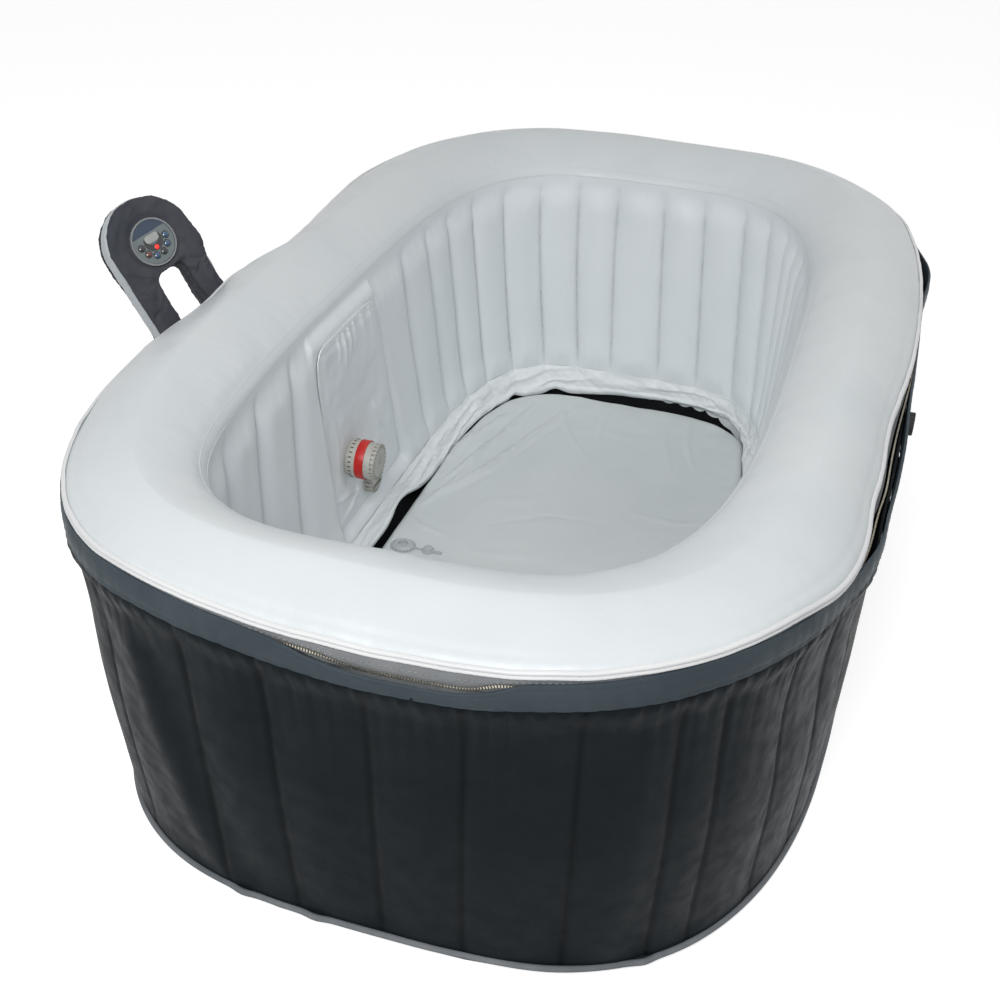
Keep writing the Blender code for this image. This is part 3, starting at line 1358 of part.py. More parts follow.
def make_finishes():
    """One plain material for each kind of surface."""
    return {
        "vinyl": material("pale_vinyl", (0.74, 0.78, 0.80), 0.35),
        "mat": material("mat_vinyl", (0.62, 0.65, 0.65), 0.45),
        "jacket": material("dark_fabric", (0.030, 0.038, 0.045), 0.60),
        "piping": material("grey_piping", (0.30, 0.32, 0.34), 0.55),
        "band": material("slate_band", (0.085, 0.105, 0.125), 0.55),
        "tape": material("zip_tape", (0.42, 0.43, 0.44), 0.70),
        "brass": material("zip_metal", (0.72, 0.62, 0.42), 0.35, 1.0),
        "clear": material("clear_valve", (0.55, 0.58, 0.60), 0.20),
        "moulding": material("beige_moulding", (0.46, 0.46, 0.42), 0.45),
        "red": material("red_band", (0.72, 0.02, 0.012), 0.40),
        "paper": material("filter_paper", (0.80, 0.79, 0.74), 0.90),
        "hose": material("air_hose", (0.60, 0.62, 0.63), 0.50),
        "dark": material("dark_moulding", (0.05, 0.05, 0.055), 0.50),
        "motor": material("motor_case", (0.22, 0.23, 0.24), 0.40, 0.6),
        "pale": material("pale_nylon", (0.75, 0.75, 0.72), 0.45),
        "steel": material("steel", (0.55, 0.56, 0.57), 0.30, 1.0),
        "board": material("circuit_board", (0.02, 0.16, 0.07), 0.50),
        "pipe": material("pipe", (0.35, 0.36, 0.37), 0.50),
        "cover": material("arch_fabric", (0.060, 0.062, 0.072), 0.75),
        "side": material("arch_side", (0.55, 0.57, 0.60), 0.40),
        "bezel": material("panel_bezel", (0.50, 0.51, 0.53), 0.30),
        "plate": material("panel_plate", (0.24, 0.27, 0.29), 0.40),
        "window": material("display", (0.45, 0.46, 0.45), 0.25),
        "lens": material("dark_lens", (0.03, 0.03, 0.035), 0.15),
        "button": material("button", (0.02, 0.05, 0.12), 0.35),
    }


def main():
    """Build the whole tub."""
    clear_scene()
    finishes = make_finishes()
    make_jacket(finishes)
    make_zip(finishes)
    make_rim(finishes)
    make_air_wall(finishes)
    make_panel(finishes)
    make_floor(finishes)
    make_mat_valve(finishes)
    make_fittings(finishes)
    make_filter(finishes)
    make_unit(finishes)
    make_arch(finishes)
    make_control_panel(finishes)
    make_jacket_valves(finishes)
    shade_round_pieces()


main()
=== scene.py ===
"""Looks of an inflatable hot tub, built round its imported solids.

Metres, +Z up, in the frame of the solids: the origin is the middle of the base, +X is the side away
from the control arch, and the near end lies towards -Y.
"""
import json
import logging
import math
from collections.abc import Callable, Sequence
from dataclasses import dataclass
from enum import Enum
from functools import lru_cache

import bmesh
import bpy
import numpy as np
from mathutils import Matrix, Vector


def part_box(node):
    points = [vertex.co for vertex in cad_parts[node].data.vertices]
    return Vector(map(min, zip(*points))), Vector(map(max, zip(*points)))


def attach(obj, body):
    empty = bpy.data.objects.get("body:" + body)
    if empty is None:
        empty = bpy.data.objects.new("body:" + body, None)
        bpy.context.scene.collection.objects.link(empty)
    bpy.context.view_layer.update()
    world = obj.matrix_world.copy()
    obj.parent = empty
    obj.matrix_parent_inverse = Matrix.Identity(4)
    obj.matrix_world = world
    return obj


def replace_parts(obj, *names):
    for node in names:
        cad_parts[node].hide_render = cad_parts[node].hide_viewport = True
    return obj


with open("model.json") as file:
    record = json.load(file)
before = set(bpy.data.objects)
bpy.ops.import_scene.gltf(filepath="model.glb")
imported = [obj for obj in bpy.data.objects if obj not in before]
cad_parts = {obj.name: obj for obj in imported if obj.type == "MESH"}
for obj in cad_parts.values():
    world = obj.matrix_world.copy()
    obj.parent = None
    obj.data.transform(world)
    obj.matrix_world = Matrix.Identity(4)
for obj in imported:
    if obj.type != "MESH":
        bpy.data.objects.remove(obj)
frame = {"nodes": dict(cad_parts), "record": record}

Array = np.ndarray
Thing = bpy.types.Object
Socket = bpy.types.NodeSocket
Finish = bpy.types.Material
LOG = logging.getLogger("hot_tub")
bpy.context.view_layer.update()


# Shared shapes

@dataclass(frozen=True)
class Oval:
    """A superellipse in plan: half width along X, half length along Y, and its power."""

    half_width: float
    half_length: float
    power: float

    def points(self, angles: Array) -> Array:
        """Points at the given angles, as an (n, 2) array."""
        c, s = np.cos(angles), np.sin(angles)
        x = self.half_width * np.sign(c) * np.abs(c) ** (2 / self.power)
        y = self.half_length * np.sign(s) * np.abs(s) ** (2 / self.power)
        return np.stack([x, y], axis=-1)


@dataclass(frozen=True)
class Course:
    """Even steps along an oval, anticlockwise from +X, that all loops of a skin share."""

    oval: Oval
    steps: int

    @property
    def table(self) -> tuple[Array, Array, Array]:
        """Fine angles along the oval, the points there, and the length run up to each."""
        return _course_table(self.oval)

    @property
    def length(self) -> float:
        """Length once round, in metres."""
        return float(self.table[2][-1])

    @property
    def runs(self) -> Array:
        """Length run up to each step, in metres."""
        return np.arange(self.steps) * self.length / self.steps

    @property
    def angles(self) -> Array:
        """Angle of each step."""
        fine, _, run = self.table
        return np.interp(self.runs, run, fine)

    def place(self, x: float, y: float) -> float:
        """Length run up to the point of the oval that is nearest to (x, y)."""
        _, points, run = self.table
        return float(run[np.argmin(np.hypot(points[:, 0] - x, points[:, 1] - y))])


@lru_cache(maxsize=None)
def _course_table(oval: Oval) -> tuple[Array, Array, Array]:
    """Fine angles, points and lengths along an oval."""
    angles = np.linspace(0, 2 * np.pi, 40001)
    points = oval.points(angles)
    steps = np.hypot(*np.diff(points, axis=0).T)
    return angles, points, np.concatenate([[0.0], np.cumsum(steps)])


@lru_cache(maxsize=None)
def _noise_table(seed: int) -> Array:
    """Random lattice behind one cloud."""
    return np.random.default_rng(seed).uniform(-1, 1, (32, 32, 32))


@dataclass(frozen=True)
class Cloud:
    """Seeded smooth noise in space, from -1 to 1."""

    seed: int

    def at(self, points: Array, size: float | Sequence[float]) -> Array:
        """Noise at some points.

        Args:
            points: places, as (..., 3).
            size: distance between the noise's lattice points, one number or one for each axis.

        Returns:
            One number for each point.
        """
        table = _noise_table(self.seed)
        p = points / np.asarray(size, float) + 11.3
        low = np.floor(p).astype(int)
        t = p - low
        t = t * t * (3 - 2 * t)
        total = np.zeros(p.shape[:-1])
        for corner in np.ndindex(2, 2, 2):
            weight = np.ones(p.shape[:-1])
            for axis, up in enumerate(corner):
                weight = weight * (t[..., axis] if up else 1 - t[..., axis])
            i, j, k = [(low[..., axis] + corner[axis]) % 32 for axis in range(3)]
            total += weight * table[i, j, k]
        return total


def ease(value: Array, low: float, high: float) -> Array:
    """Smooth step from 0 at low to 1 at high."""
    t = np.clip((value - low) / (high - low), 0, 1)
    return t * t * (3 - 2 * t)


def hump(value: Array, middle: float, half: float) -> Array:
    """Bell that is 1 at the middle and has faded a distance of half away."""
    return np.exp(-((value - middle) / half) ** 2 * 2.0)


def round_hump(run: Array, middle: float, half: float, length: float) -> Array:
    """Bell on a closed course of the given length."""
    away = (run - middle + length / 2) % length - length / 2
    return np.exp(-(away / half) ** 2 * 2.0)


def lengthwise(run: Array) -> Array:
    """Lengths along a course as points on a straight line, for a cloud that follows the course."""
    return np.stack([run, run * 0, run * 0], axis=-1)


def bells(run: Array, rows: Sequence[tuple[float, float, float, float]]) -> Array:
    """Sum of bells on the tub's outside course, each with its place (x, y), half length and height."""
    course = PLAN.course
    return sum(height * round_hump(run, course.place(x, y), half, course.length) for x, y, half, height in rows)


def puckers(run: Array, spacing: float, seed: int) -> Array:
    """Rounded gathers along a run, with narrow valleys between them, from 0 to 1.

    Args:
        run: lengths along the seam.
        spacing: usual width of one gather.
        seed: seed of their unevenness.

    Returns:
        Height of the gather at each place.
    """
    cloud = Cloud(seed)
    points = lengthwise(run)
    sway = cloud.at(points, spacing * 2.6) * 0.9
    return np.abs(np.sin(np.pi * run / spacing + 2.2 * sway)) ** 0.75


@dataclass(frozen=True)
class Fold:
    """A soft ridge, or a valley where its height is negative, along a line on a surface."""

    line: tuple[tuple[float, float], ...]
    width: float
    height: float

    def at(self, a: Array, b: Array) -> Array:
        """Its height at surface coordinates (a, b)."""
        best = np.full(a.shape, 1e9)
        place = np.zeros(a.shape)
        count = len(self.line) - 1
        for i, ((a0, b0), (a1, b1)) in enumerate(zip(self.line, self.line[1:])):
            da, db = a1 - a0, b1 - b0
            t = np.clip(((a - a0) * da + (b - b0) * db) / (da * da + db * db), 0, 1)
            far = np.hypot(a - a0 - t * da, b - b0 - t * db)
            nearer = far < best
            best = np.where(nearer, far, best)
            place = np.where(nearer, (i + t) / count, place)
        taper = np.sin(np.pi * np.clip(place, 0.02, 0.98)) ** 0.6
        return self.height * taper * np.exp(-(best / self.width) ** 1.6 * 1.6)


def fold_sum(folds: Sequence[Fold], a: Array, b: Array) -> Array:
    """Height of several folds together."""
    total = np.zeros(a.shape)
    for fold in folds:
        total = total + fold.at(a, b)
    return total


# Mesh makers

def new_thing(name: str, mesh: bpy.types.Mesh) -> Thing:
    """Link a mesh as an object at the origin."""
    thing = bpy.data.objects.new(name, mesh)
    bpy.context.scene.collection.objects.link(thing)
    return thing


def mesh_of(
    name: str, points: Array, faces: Array, fields: dict[str, Array] | None = None, sharp: float = 58.0,
) -> Thing:
    """A smooth mesh from arrays.

    Args:
        name: the piece's name.
        points: vertices, (n, 3).
        faces: vertex numbers, (m, 4).
        fields: numbers on each vertex, kept as attributes.
        sharp: edges that turn more than this, in degrees, stay sharp.
    """
    mesh = bpy.data.meshes.new(name)
    mesh.vertices.add(len(points))
    mesh.vertices.foreach_set("co", np.asarray(points, np.float32).ravel())
    mesh.loops.add(faces.size)
    mesh.loops.foreach_set("vertex_index", np.asarray(faces, np.int32).ravel())
    mesh.polygons.add(len(faces))
    mesh.polygons.foreach_set("loop_start", np.arange(len(faces), dtype=np.int32) * faces.shape[1])
    mesh.update(calc_edges=True)
    mesh.validate()
    for key, values in (fields or {}).items():
        attribute = mesh.attributes.new(key, "FLOAT", "POINT")
        attribute.data.foreach_set("value", np.asarray(values, np.float32).ravel())
    mesh.shade_smooth()
    mesh.set_sharp_from_angle(angle=math.radians(sharp))
    return new_thing(name, mesh)


def skin(name: str, grid: Array, closed: bool = True, fields: dict[str, Array] | None = None) -> Thing:
    """A ring-shaped skin from loops that go round the tub anticlockwise.

    Args:
        name: the piece's name.
        grid: loops, (rows, steps, 3); going up through the rows goes round the section so that faces
            point out when the outside is met from its foot upwards.
        closed: whether the last row joins the first.
        fields: numbers on each vertex, (rows, steps).
    """
    rows, steps = grid.shape[:2]
    index = np.arange(rows * steps).reshape(rows, steps)
    low = index if closed else index[:-1]
    up = np.roll(index, -1, axis=0) if closed else index[1:]
    faces = np.stack([low, np.roll(low, -1, axis=1), np.roll(up, -1, axis=1), up], axis=-1)
    return mesh_of(name, grid.reshape(-1, 3), faces.reshape(-1, 4), fields)


def loop(oval: Oval, angles: Array, height: float | Array, out: float | Array = 0.0) -> Array:
    """One loop of a skin.

    Args:
        oval: its plan.
        angles: where its points lie on the plan.
        height: its height, or one for each point.
        out: how far each point is moved straight out of the plan.

    Returns:
        Points, (steps, 3).
    """
    plain = oval.points(angles)
    along = np.roll(plain, -1, axis=0) - np.roll(plain, 1, axis=0)
    along /= np.maximum(np.hypot(*along.T), 1e-9)[:, None]
    moved = plain + np.stack([along[:, 1], -along[:, 0]], axis=-1) * np.broadcast_to(out, angles.shape)[:, None]
    return np.column_stack([moved, np.broadcast_to(height, angles.shape)])


def normals_of(grid: Array, closed: bool) -> Array:
    """Outward unit normals of a ring-shaped grid."""
    along = np.roll(grid, -1, axis=1) - np.roll(grid, 1, axis=1)
    up = np.roll(grid, -1, axis=0) - np.roll(grid, 1, axis=0)
    if not closed:
        up[0], up[-1] = grid[1] - grid[0], grid[-1] - grid[-2]
    out = np.cross(along, up)
    return out / np.maximum(np.linalg.norm(out, axis=-1), 1e-12)[..., None]


def sheet_grid(name: str, grid: Array, thickness: float, fields: dict[str, Array] | None = None) -> Thing:
    """A flat-topped sheet from an open grid, given its thickness behind the face.

    Args:
        name: the piece's name.
        grid: the face's points, (rows, columns, 3), seen anticlockwise from outside.
        thickness: depth behind the face.
        fields: numbers on each vertex of the face.

    Returns:
        The piece, closed all round.
    """
    rows, columns = grid.shape[:2]
    across, up = np.gradient(grid, axis=1), np.gradient(grid, axis=0)
    out = np.cross(across, up)
    out /= np.linalg.norm(out, axis=-1)[..., None]
    back = grid - out * thickness
    index = np.arange(rows * columns).reshape(rows, columns)
    front = np.stack([index[:-1, :-1], index[:-1, 1:], index[1:, 1:], index[1:, :-1]], axis=-1).reshape(-1, 4)
    rear = front[:, ::-1] + rows * columns
    edge = np.concatenate([index[0, :-1], index[:-1, -1], index[-1, :0:-1], index[:0:-1, 0]])
    after = np.roll(edge, -1)
    rim = np.stack([after, edge, edge + rows * columns, after + rows * columns], axis=-1)
    both = {key: np.concatenate([values.ravel()] * 2) for key, values in (fields or {}).items()}
    points = np.concatenate([grid.reshape(-1, 3), back.reshape(-1, 3)])
    return mesh_of(name, points, np.concatenate([front, rear, rim]), both)


def turned(
    name: str, profile: Sequence[tuple[float, float]], place: Matrix, steps: int = 64, sharp: float = 40.0,
) -> Thing:
    """A round piece turned about its own Z.

    Args:
        name: the piece's name.
        profile: (radius, height) points that run from the axis or the inside, round the outside.
        place: where its axis goes.
        steps: faces round it.
        sharp: edges that turn more than this, in degrees, stay sharp.
    """
    work = bmesh.new()
    line = [work.verts.new((radius, 0.0, height)) for radius, height in profile]
    edges = [work.edges.new(pair) for pair in zip(line, line[1:])]
    if profile[0][0] > 0 and profile[-1][0] > 0:
        edges.append(work.edges.new((line[-1], line[0])))
    bmesh.ops.spin(
        work, geom=line + edges, cent=(0, 0, 0), axis=(0, 0, 1), angle=2 * math.pi, steps=steps, use_merge=True
    )
    bmesh.ops.remove_doubles(work, verts=work.verts, dist=0.000001)
    bmesh.ops.recalc_face_normals(work, faces=work.faces)
    bmesh.ops.transform(work, matrix=place, verts=work.verts)
    return finish_work(name, work, sharp)


def finish_work(name: str, work: bmesh.types.BMesh, sharp: float = 40.0) -> Thing:
    """Turn a bmesh into a piece that is smooth but for its sharp edges."""
    mesh = bpy.data.meshes.new(name)
    work.to_mesh(mesh)
    work.free()
    mesh.shade_smooth()
    mesh.set_sharp_from_angle(angle=math.radians(sharp))
    return new_thing(name, mesh)


def copy_of_solid(name: str, node: str) -> Thing:
    """A merged copy of a solid's mesh as a new piece."""
    work = bmesh.new()
    work.from_mesh(frame["nodes"][node].data)
    bmesh.ops.remove_doubles(work, verts=work.verts, dist=0.00001)
    return finish_work(name, work, 30.0)


def with_modifiers(thing: Thing) -> Thing:
    """Apply all modifiers of a piece into a fresh plain mesh."""
    bpy.context.view_layer.update()
    evaluated = thing.evaluated_get(bpy.context.evaluated_depsgraph_get())
    mesh = bpy.data.meshes.new_from_object(evaluated)
    thing.modifiers.clear()
    thing.data = mesh
    return thing


def move_points(thing: Thing, change: Callable[[Array], Array]) -> None:
    """Move a mesh's vertices along their normals.

    Args:
        thing: the piece.
        change: gives each vertex's distance from its place.
    """
    mesh = thing.data
    count = len(mesh.vertices)
    points, normals = np.empty(count * 3, np.float32), np.empty(count * 3, np.float32)
    mesh.vertices.foreach_get("co", points)
    mesh.vertex_normals.foreach_get("vector", normals)
    points, normals = points.reshape(-1, 3), normals.reshape(-1, 3)
    points = points + normals * change(points)[:, None]
    mesh.vertices.foreach_set("co", points.astype(np.float32).ravel())
    mesh.update()


def plate(name: str, outline: Array, low: float, high: float, place: Matrix, edge: float = 0.0) -> Thing:
    """A flat plate with any outline.

    Args:
        name: the piece's name.
        outline: corners, (n, 2), anticlockwise from above.
        low: height of its underside on the place's Z.
        high: height of its top.
        place: where it goes.
        edge: radius of its rounded upper edge.
    """
    work = bmesh.new()
    foot = [work.verts.new((x, y, low)) for x, y in outline]
    top = [work.verts.new((x, y, high)) for x, y in outline]
    count = len(foot)
    for i in range(count):
        after = (i + 1) % count
        work.faces.new((foot[i], foot[after], top[after], top[i]))
    work.faces.new(foot[::-1])
    cover = work.faces.new(top)
    if edge > 0:
        bmesh.ops.bevel(work, geom=list(cover.edges), offset=edge, segments=3, profile=0.5, affect="EDGES")
    bmesh.ops.transform(work, matrix=place, verts=work.verts)
    return finish_work(name, work, 35.0)


def joined(name: str, parts: Sequence[Thing]) -> Thing:
    """Several pieces as one mesh."""
    work = bmesh.new()
    for part in parts:
        work.from_mesh(part.data)
        bpy.data.objects.remove(part)
    return finish_work(name, work)


def puffed(thing: Thing, voxel: float, pressure: float, cap: float, hold: Callable[[Array], Array]) -> Thing:
    """Swell a closed piece as its stuffing does, by a short cloth simulation with no gravity.

    Args:
        thing: the piece, a little smaller than it ends up.
        voxel: size of the even mesh that it is first given.
        pressure: pressure inside.
        cap: the furthest that a point may move.
        hold: gives each point's freedom from 0 to 1.

    Returns:
        The same piece, swollen and subdivided once.
    """
    even = thing.modifiers.new("even", "REMESH")
    even.mode, even.voxel_size = "VOXEL", voxel
    relax = thing.modifiers.new("relax", "SMOOTH")
    relax.factor, relax.iterations = 0.5, 3
    with_modifiers(thing)
    scene = bpy.context.scene
    before = np.array([v.co for v in thing.data.vertices])
    cloth = thing.modifiers.new("cloth", "CLOTH")
    cloth.settings.quality = 5
    cloth.settings.use_pressure = True
    cloth.settings.uniform_pressure_force = pressure
    cloth.settings.shrink_min = -0.05
    cloth.settings.tension_stiffness = cloth.settings.compression_stiffness = 12.0
    cloth.settings.bending_stiffness = 0.3
    cloth.settings.effector_weights.gravity = 0.0
    cloth.collision_settings.use_collision = False
    cloth.point_cache.frame_start, cloth.point_cache.frame_end = 1, 20
    for number in range(1, 21):
        scene.frame_set(number)
    evaluated = thing.evaluated_get(bpy.context.evaluated_depsgraph_get())
    after = np.array([v.co for v in evaluated.data.vertices])
    thing.modifiers.clear()
    scene.frame_set(1)
    move = after - before
    far = np.linalg.norm(move, axis=-1)
    move *= (np.minimum(far, cap) / np.maximum(far, 1e-9) * hold(before))[:, None]
    thing.data.vertices.foreach_set("co", (before + move).astype(np.float32).ravel())
    thing.data.update()
    finer = thing.modifiers.new("finer", "SUBSURF")
    finer.levels = finer.render_levels = 1
    with_modifiers(thing)
    thing.data.shade_smooth()
    return thing


def along_x(x: float, y: float, z: float) -> Matrix:
    """A frame whose Z points along the tub's +X."""
    return Matrix.Translation((x, y, z)) @ Matrix.Rotation(math.pi / 2, 4, "Y")


# Finishes

class Palette(Enum):
    """Colours of the tub's materials, linear."""

    CHARCOAL = (0.0075, 0.0110, 0.0135)
    CHARCOAL_WORN = (0.0105, 0.0145, 0.0175)
    SLATE = (0.0530, 0.0690, 0.0810)
    SLATE_PALE = (0.0690, 0.0880, 0.1020)
    PIPING = (0.1600, 0.1750, 0.1900)
    PIPING_PALE = (0.2600, 0.2750, 0.2900)
    VINYL = (0.7100, 0.7450, 0.7600)
    VINYL_SHADE = (0.6500, 0.6950, 0.7150)
    WELT = (0.8000, 0.8100, 0.8100)
    WELT_SHADE = (0.6800, 0.6900, 0.7000)
    WALL = (0.8300, 0.8650, 0.8850)
    WALL_SHADE = (0.7800, 0.8200, 0.8450)
    MAT = (0.6500, 0.6850, 0.6850)
    MAT_SHADE = (0.5900, 0.6300, 0.6350)
    SKIRT = (0.8000, 0.8300, 0.8400)
    SKIRT_SHADE = (0.7200, 0.7550, 0.7700)
    # Painted shadow for the gap beside the mat, with a paler second tone.
    GAP_SHADOW = (0.0080, 0.0085, 0.0095)
    GAP_SHADOW_PALE = (0.0140, 0.0150, 0.0160)
    TAPE = (0.4300, 0.4450, 0.4600)
    TAPE_DARK = (0.2700, 0.2850, 0.3000)
    COVER = (0.0540, 0.0590, 0.0730)
    COVER_PALE = (0.0900, 0.0910, 0.1030)
    EDGE_STRIP = (0.5600, 0.6000, 0.6200)
    EDGE_STRIP_SHADE = (0.4700, 0.5100, 0.5400)
    BEIGE = (0.5200, 0.5100, 0.4650)
    BEIGE_DARK = (0.4200, 0.4100, 0.3750)


@dataclass(frozen=True)
class Shader:
    """A material's node tree while it is being written."""

    material: Finish

    @property
    def nodes(self) -> bpy.types.Nodes:
        """The tree's nodes."""
        return self.material.node_tree.nodes

    @property
    def principled(self) -> bpy.types.Node:
        """The Principled shader."""
        return self.nodes["Principled BSDF"]

    def node(self, kind: str, **settings: object) -> bpy.types.Node:
        """Add a node and set its properties."""
        made = self.nodes.new("ShaderNode" + kind)
        for key, value in settings.items():
            setattr(made, key, value)
        return made

    def link(self, source: Socket, target: Socket) -> None:
        """Join two sockets."""
        self.material.node_tree.links.new(source, target)

    def coordinates(self) -> Socket:
        """Object coordinates, which are metres in the tub's frame."""
        return self.node("TexCoord").outputs["Object"]

    def field(self, name: str) -> Socket:
        """A number kept on the mesh."""
        return self.node("Attribute", attribute_name=name).outputs["Fac"]

    def noise(
        self, scale: float, detail: float = 3.0, roughness: float = 0.5, stretch: Vector | None = None,
    ) -> Socket:
        """Noise over the surface.

        Args:
            scale: cells in a metre.
            detail: octaves.
            roughness: strength of the fine octaves.
            stretch: scale along each axis, where the pattern is drawn out.

        Returns:
            The noise's value, from 0 to 1.
        """
        made = self.node("TexNoise")
        made.inputs["Scale"].default_value = scale
        made.inputs["Detail"].default_value = detail
        made.inputs["Roughness"].default_value = roughness
        place = self.coordinates()
        if stretch is not None:
            mapping = self.node("Mapping")
            mapping.inputs["Scale"].default_value = stretch
            self.link(place, mapping.inputs["Vector"])
            place = mapping.outputs["Vector"]
        self.link(place, made.inputs["Vector"])
        return made.outputs["Fac"]

    def cells(self, scale: float, feature: str = "F1") -> Socket:
        """Distance in a pattern of small cells, as in leather grain."""
        made = self.node("TexVoronoi", feature=feature)
        made.inputs["Scale"].default_value = scale
        self.link(self.coordinates(), made.inputs["Vector"])
        return made.outputs["Distance"]

    def weave(self, scale: float, direction: str) -> Socket:
        """Fine parallel threads."""
        made = self.node("TexWave", wave_type="BANDS", bands_direction=direction)
        made.inputs["Scale"].default_value = scale
        made.inputs["Distortion"].default_value = 0.6
        made.inputs["Detail Scale"].default_value = 2.0
        self.link(self.coordinates(), made.inputs["Vector"])
        return made.outputs["Fac"]

    def step(self, value: Socket, low: float, high: float, start: float = 0.0, end: float = 1.0) -> Socket:
        """Smooth change of a number from start to end as it goes from low to high."""
        made = self.node("MapRange", interpolation_type="SMOOTHSTEP")
        self.link(value, made.inputs["Value"])
        made.inputs["From Min"].default_value = low
        made.inputs["From Max"].default_value = high
        made.inputs["To Min"].default_value = start
        made.inputs["To Max"].default_value = end
        return made.outputs["Result"]

    def maths(self, operation: str, first: Socket, second: Socket | float) -> Socket:
        """One sum with two numbers."""
        made = self.node("Math", operation=operation)
        self.link(first, made.inputs[0])
        if isinstance(second, (int, float)):
            made.inputs[1].default_value = second
        else:
            self.link(second, made.inputs[1])
        return made.outputs["Value"]

    def blend(self, share: Socket, first: object, second: object) -> Socket:
        """Mix two colours, each a triple or a socket."""
        made = self.node("Mix", data_type="RGBA")
        self.link(share, made.inputs[0])
        for value, target in ((first, made.inputs[6]), (second, made.inputs[7])):
            if isinstance(value, tuple):
                target.default_value = (*value, 1.0)
            else:
                self.link(value, target)
        return made.outputs[2]

    def colour(self, source: Socket) -> None:
        """Send a colour to the surface."""
        self.link(source, self.principled.inputs["Base Color"])

    def roughness(self, source: Socket) -> None:
        """Send a roughness to the surface."""
        self.link(source, self.principled.inputs["Roughness"])

    def bumps(self, *layers: tuple[Socket, float]) -> None:
        """Raise the surface by several layers, each a height from 0 to 1 and its depth in metres."""
        before = None
        for height, depth in layers:
            made = self.node("Bump")
            made.inputs["Strength"].default_value = 1.0
            made.inputs["Distance"].default_value = depth
            self.link(height, made.inputs["Height"])
            if before is not None:
                self.link(before, made.inputs["Normal"])
            before = made.outputs["Normal"]
        self.link(before, self.principled.inputs["Normal"])

    def plain(self, **values: float | tuple[float, ...]) -> None:
        """Set shader inputs that are the same all over, with _ for spaces in their names."""
        for key, value in values.items():
            self.principled.inputs[key.replace("_", " ")].default_value = value


def new_shader(name: str) -> Shader:
    """Start a material."""
    material = bpy.data.materials.new(name)
    material.use_nodes = True
    return Shader(material)


@dataclass(frozen=True)
class Leatherette:
    """Coated fabric: dark, with a fine grain, a satin sheen and paler worn patches."""

    name: str
    base: Palette
    worn: Palette
    grain: float = 900.0
    grain_depth: float = 0.00012
    roughness: float = 0.44
    wrinkle_depth: float = 0.0005
    gloss: float = 0.035

    def make(self) -> Finish:
        """The material."""
        s = new_shader(self.name)
        cloud = s.noise(5.0, 4.0, 0.6)
        fine = s.noise(60.0, 4.0, 0.6)
        share = s.step(s.maths("ADD", cloud, s.maths("MULTIPLY", fine, 0.35)), 0.45, 0.95)
        faded = s.blend(share, self.base.value, self.worn.value)
        # Seams are darkened towards a third of the base colour: painted shade in the seam grooves.
        shade = tuple(part * 0.35 for part in self.base.value)
        s.colour(s.blend(s.maths("MULTIPLY", s.field("seam"), 0.75), faded, shade))
        rough = s.step(s.noise(38.0, 3.0), 0.25, 0.8, self.roughness - 0.07, self.roughness + 0.10)
        s.roughness(rough)
        creases = s.noise(16.0, 5.0, 0.55, Vector((1.0, 1.0, 0.45)))
        s.bumps((creases, self.wrinkle_depth), (s.cells(self.grain), self.grain_depth), (s.noise(220.0, 3.0), 0.00016))
        s.plain(Specular_IOR_Level=self.gloss)
        return s.material


@dataclass(frozen=True)
class Vinyl:
    """Smooth air-tight film: pale, faintly cloudy, with shallow wrinkles that only the gloss shows."""

    name: str
    base: Palette
    shade: Palette
    roughness: float = 0.38
    wrinkle: float = 14.0
    wrinkle_depth: float = 0.0022
    coat: float = 0.0
    seam_shade: float = 0.0

    def make(self) -> Finish:
        """The material."""
        s = new_shader(self.name)
        cloud = s.noise(3.2, 3.0, 0.5)
        speck = s.noise(140.0, 2.0, 0.7)
        share = s.step(s.maths("ADD", cloud, s.maths("MULTIPLY", speck, 0.12)), 0.35, 0.85)
        film = s.blend(share, self.base.value, self.shade.value)
        # Seam lines are darkened towards the shade colour: painted shade in the narrow valleys between channels.
        if self.seam_shade:
            painted_seam_shade = tuple(part * 0.45 for part in self.shade.value)
            film = s.blend(s.maths("MULTIPLY", s.field("seam"), self.seam_shade), film, painted_seam_shade)
        s.colour(film)
        s.roughness(s.step(s.noise(24.0, 4.0), 0.25, 0.8, self.roughness - 0.06, self.roughness + 0.10))
        s.bumps((s.noise(self.wrinkle, 4.0, 0.5), self.wrinkle_depth), (s.noise(420.0, 2.0), 0.00006))
        s.plain(Specular_IOR_Level=0.40, Coat_Weight=self.coat, Coat_Roughness=0.25)
        return s.material


@dataclass(frozen=True)
class Webbing:
    """Woven zip tape: fine threads both ways, matt."""

    name: str
    base: Palette
    shade: Palette
    threads: float = 520.0

    def make(self) -> Finish:
        """The material."""
        s = new_shader(self.name)
        up = s.weave(self.threads, "Z")
        along = s.weave(self.threads, "DIAGONAL")
        both = s.maths("MULTIPLY", up, along)
        stains = s.noise(30.0, 4.0)
        share = s.step(s.maths("ADD", s.maths("MULTIPLY", both, 0.5), s.maths("MULTIPLY", stains, 0.5)), 0.2, 0.7)
        s.colour(s.blend(share, self.shade.value, self.base.value))
        s.roughness(s.step(stains, 0.2, 0.8, 0.65, 0.85))
        s.bumps((both, 0.0004), (stains, 0.0006))
        return s.material


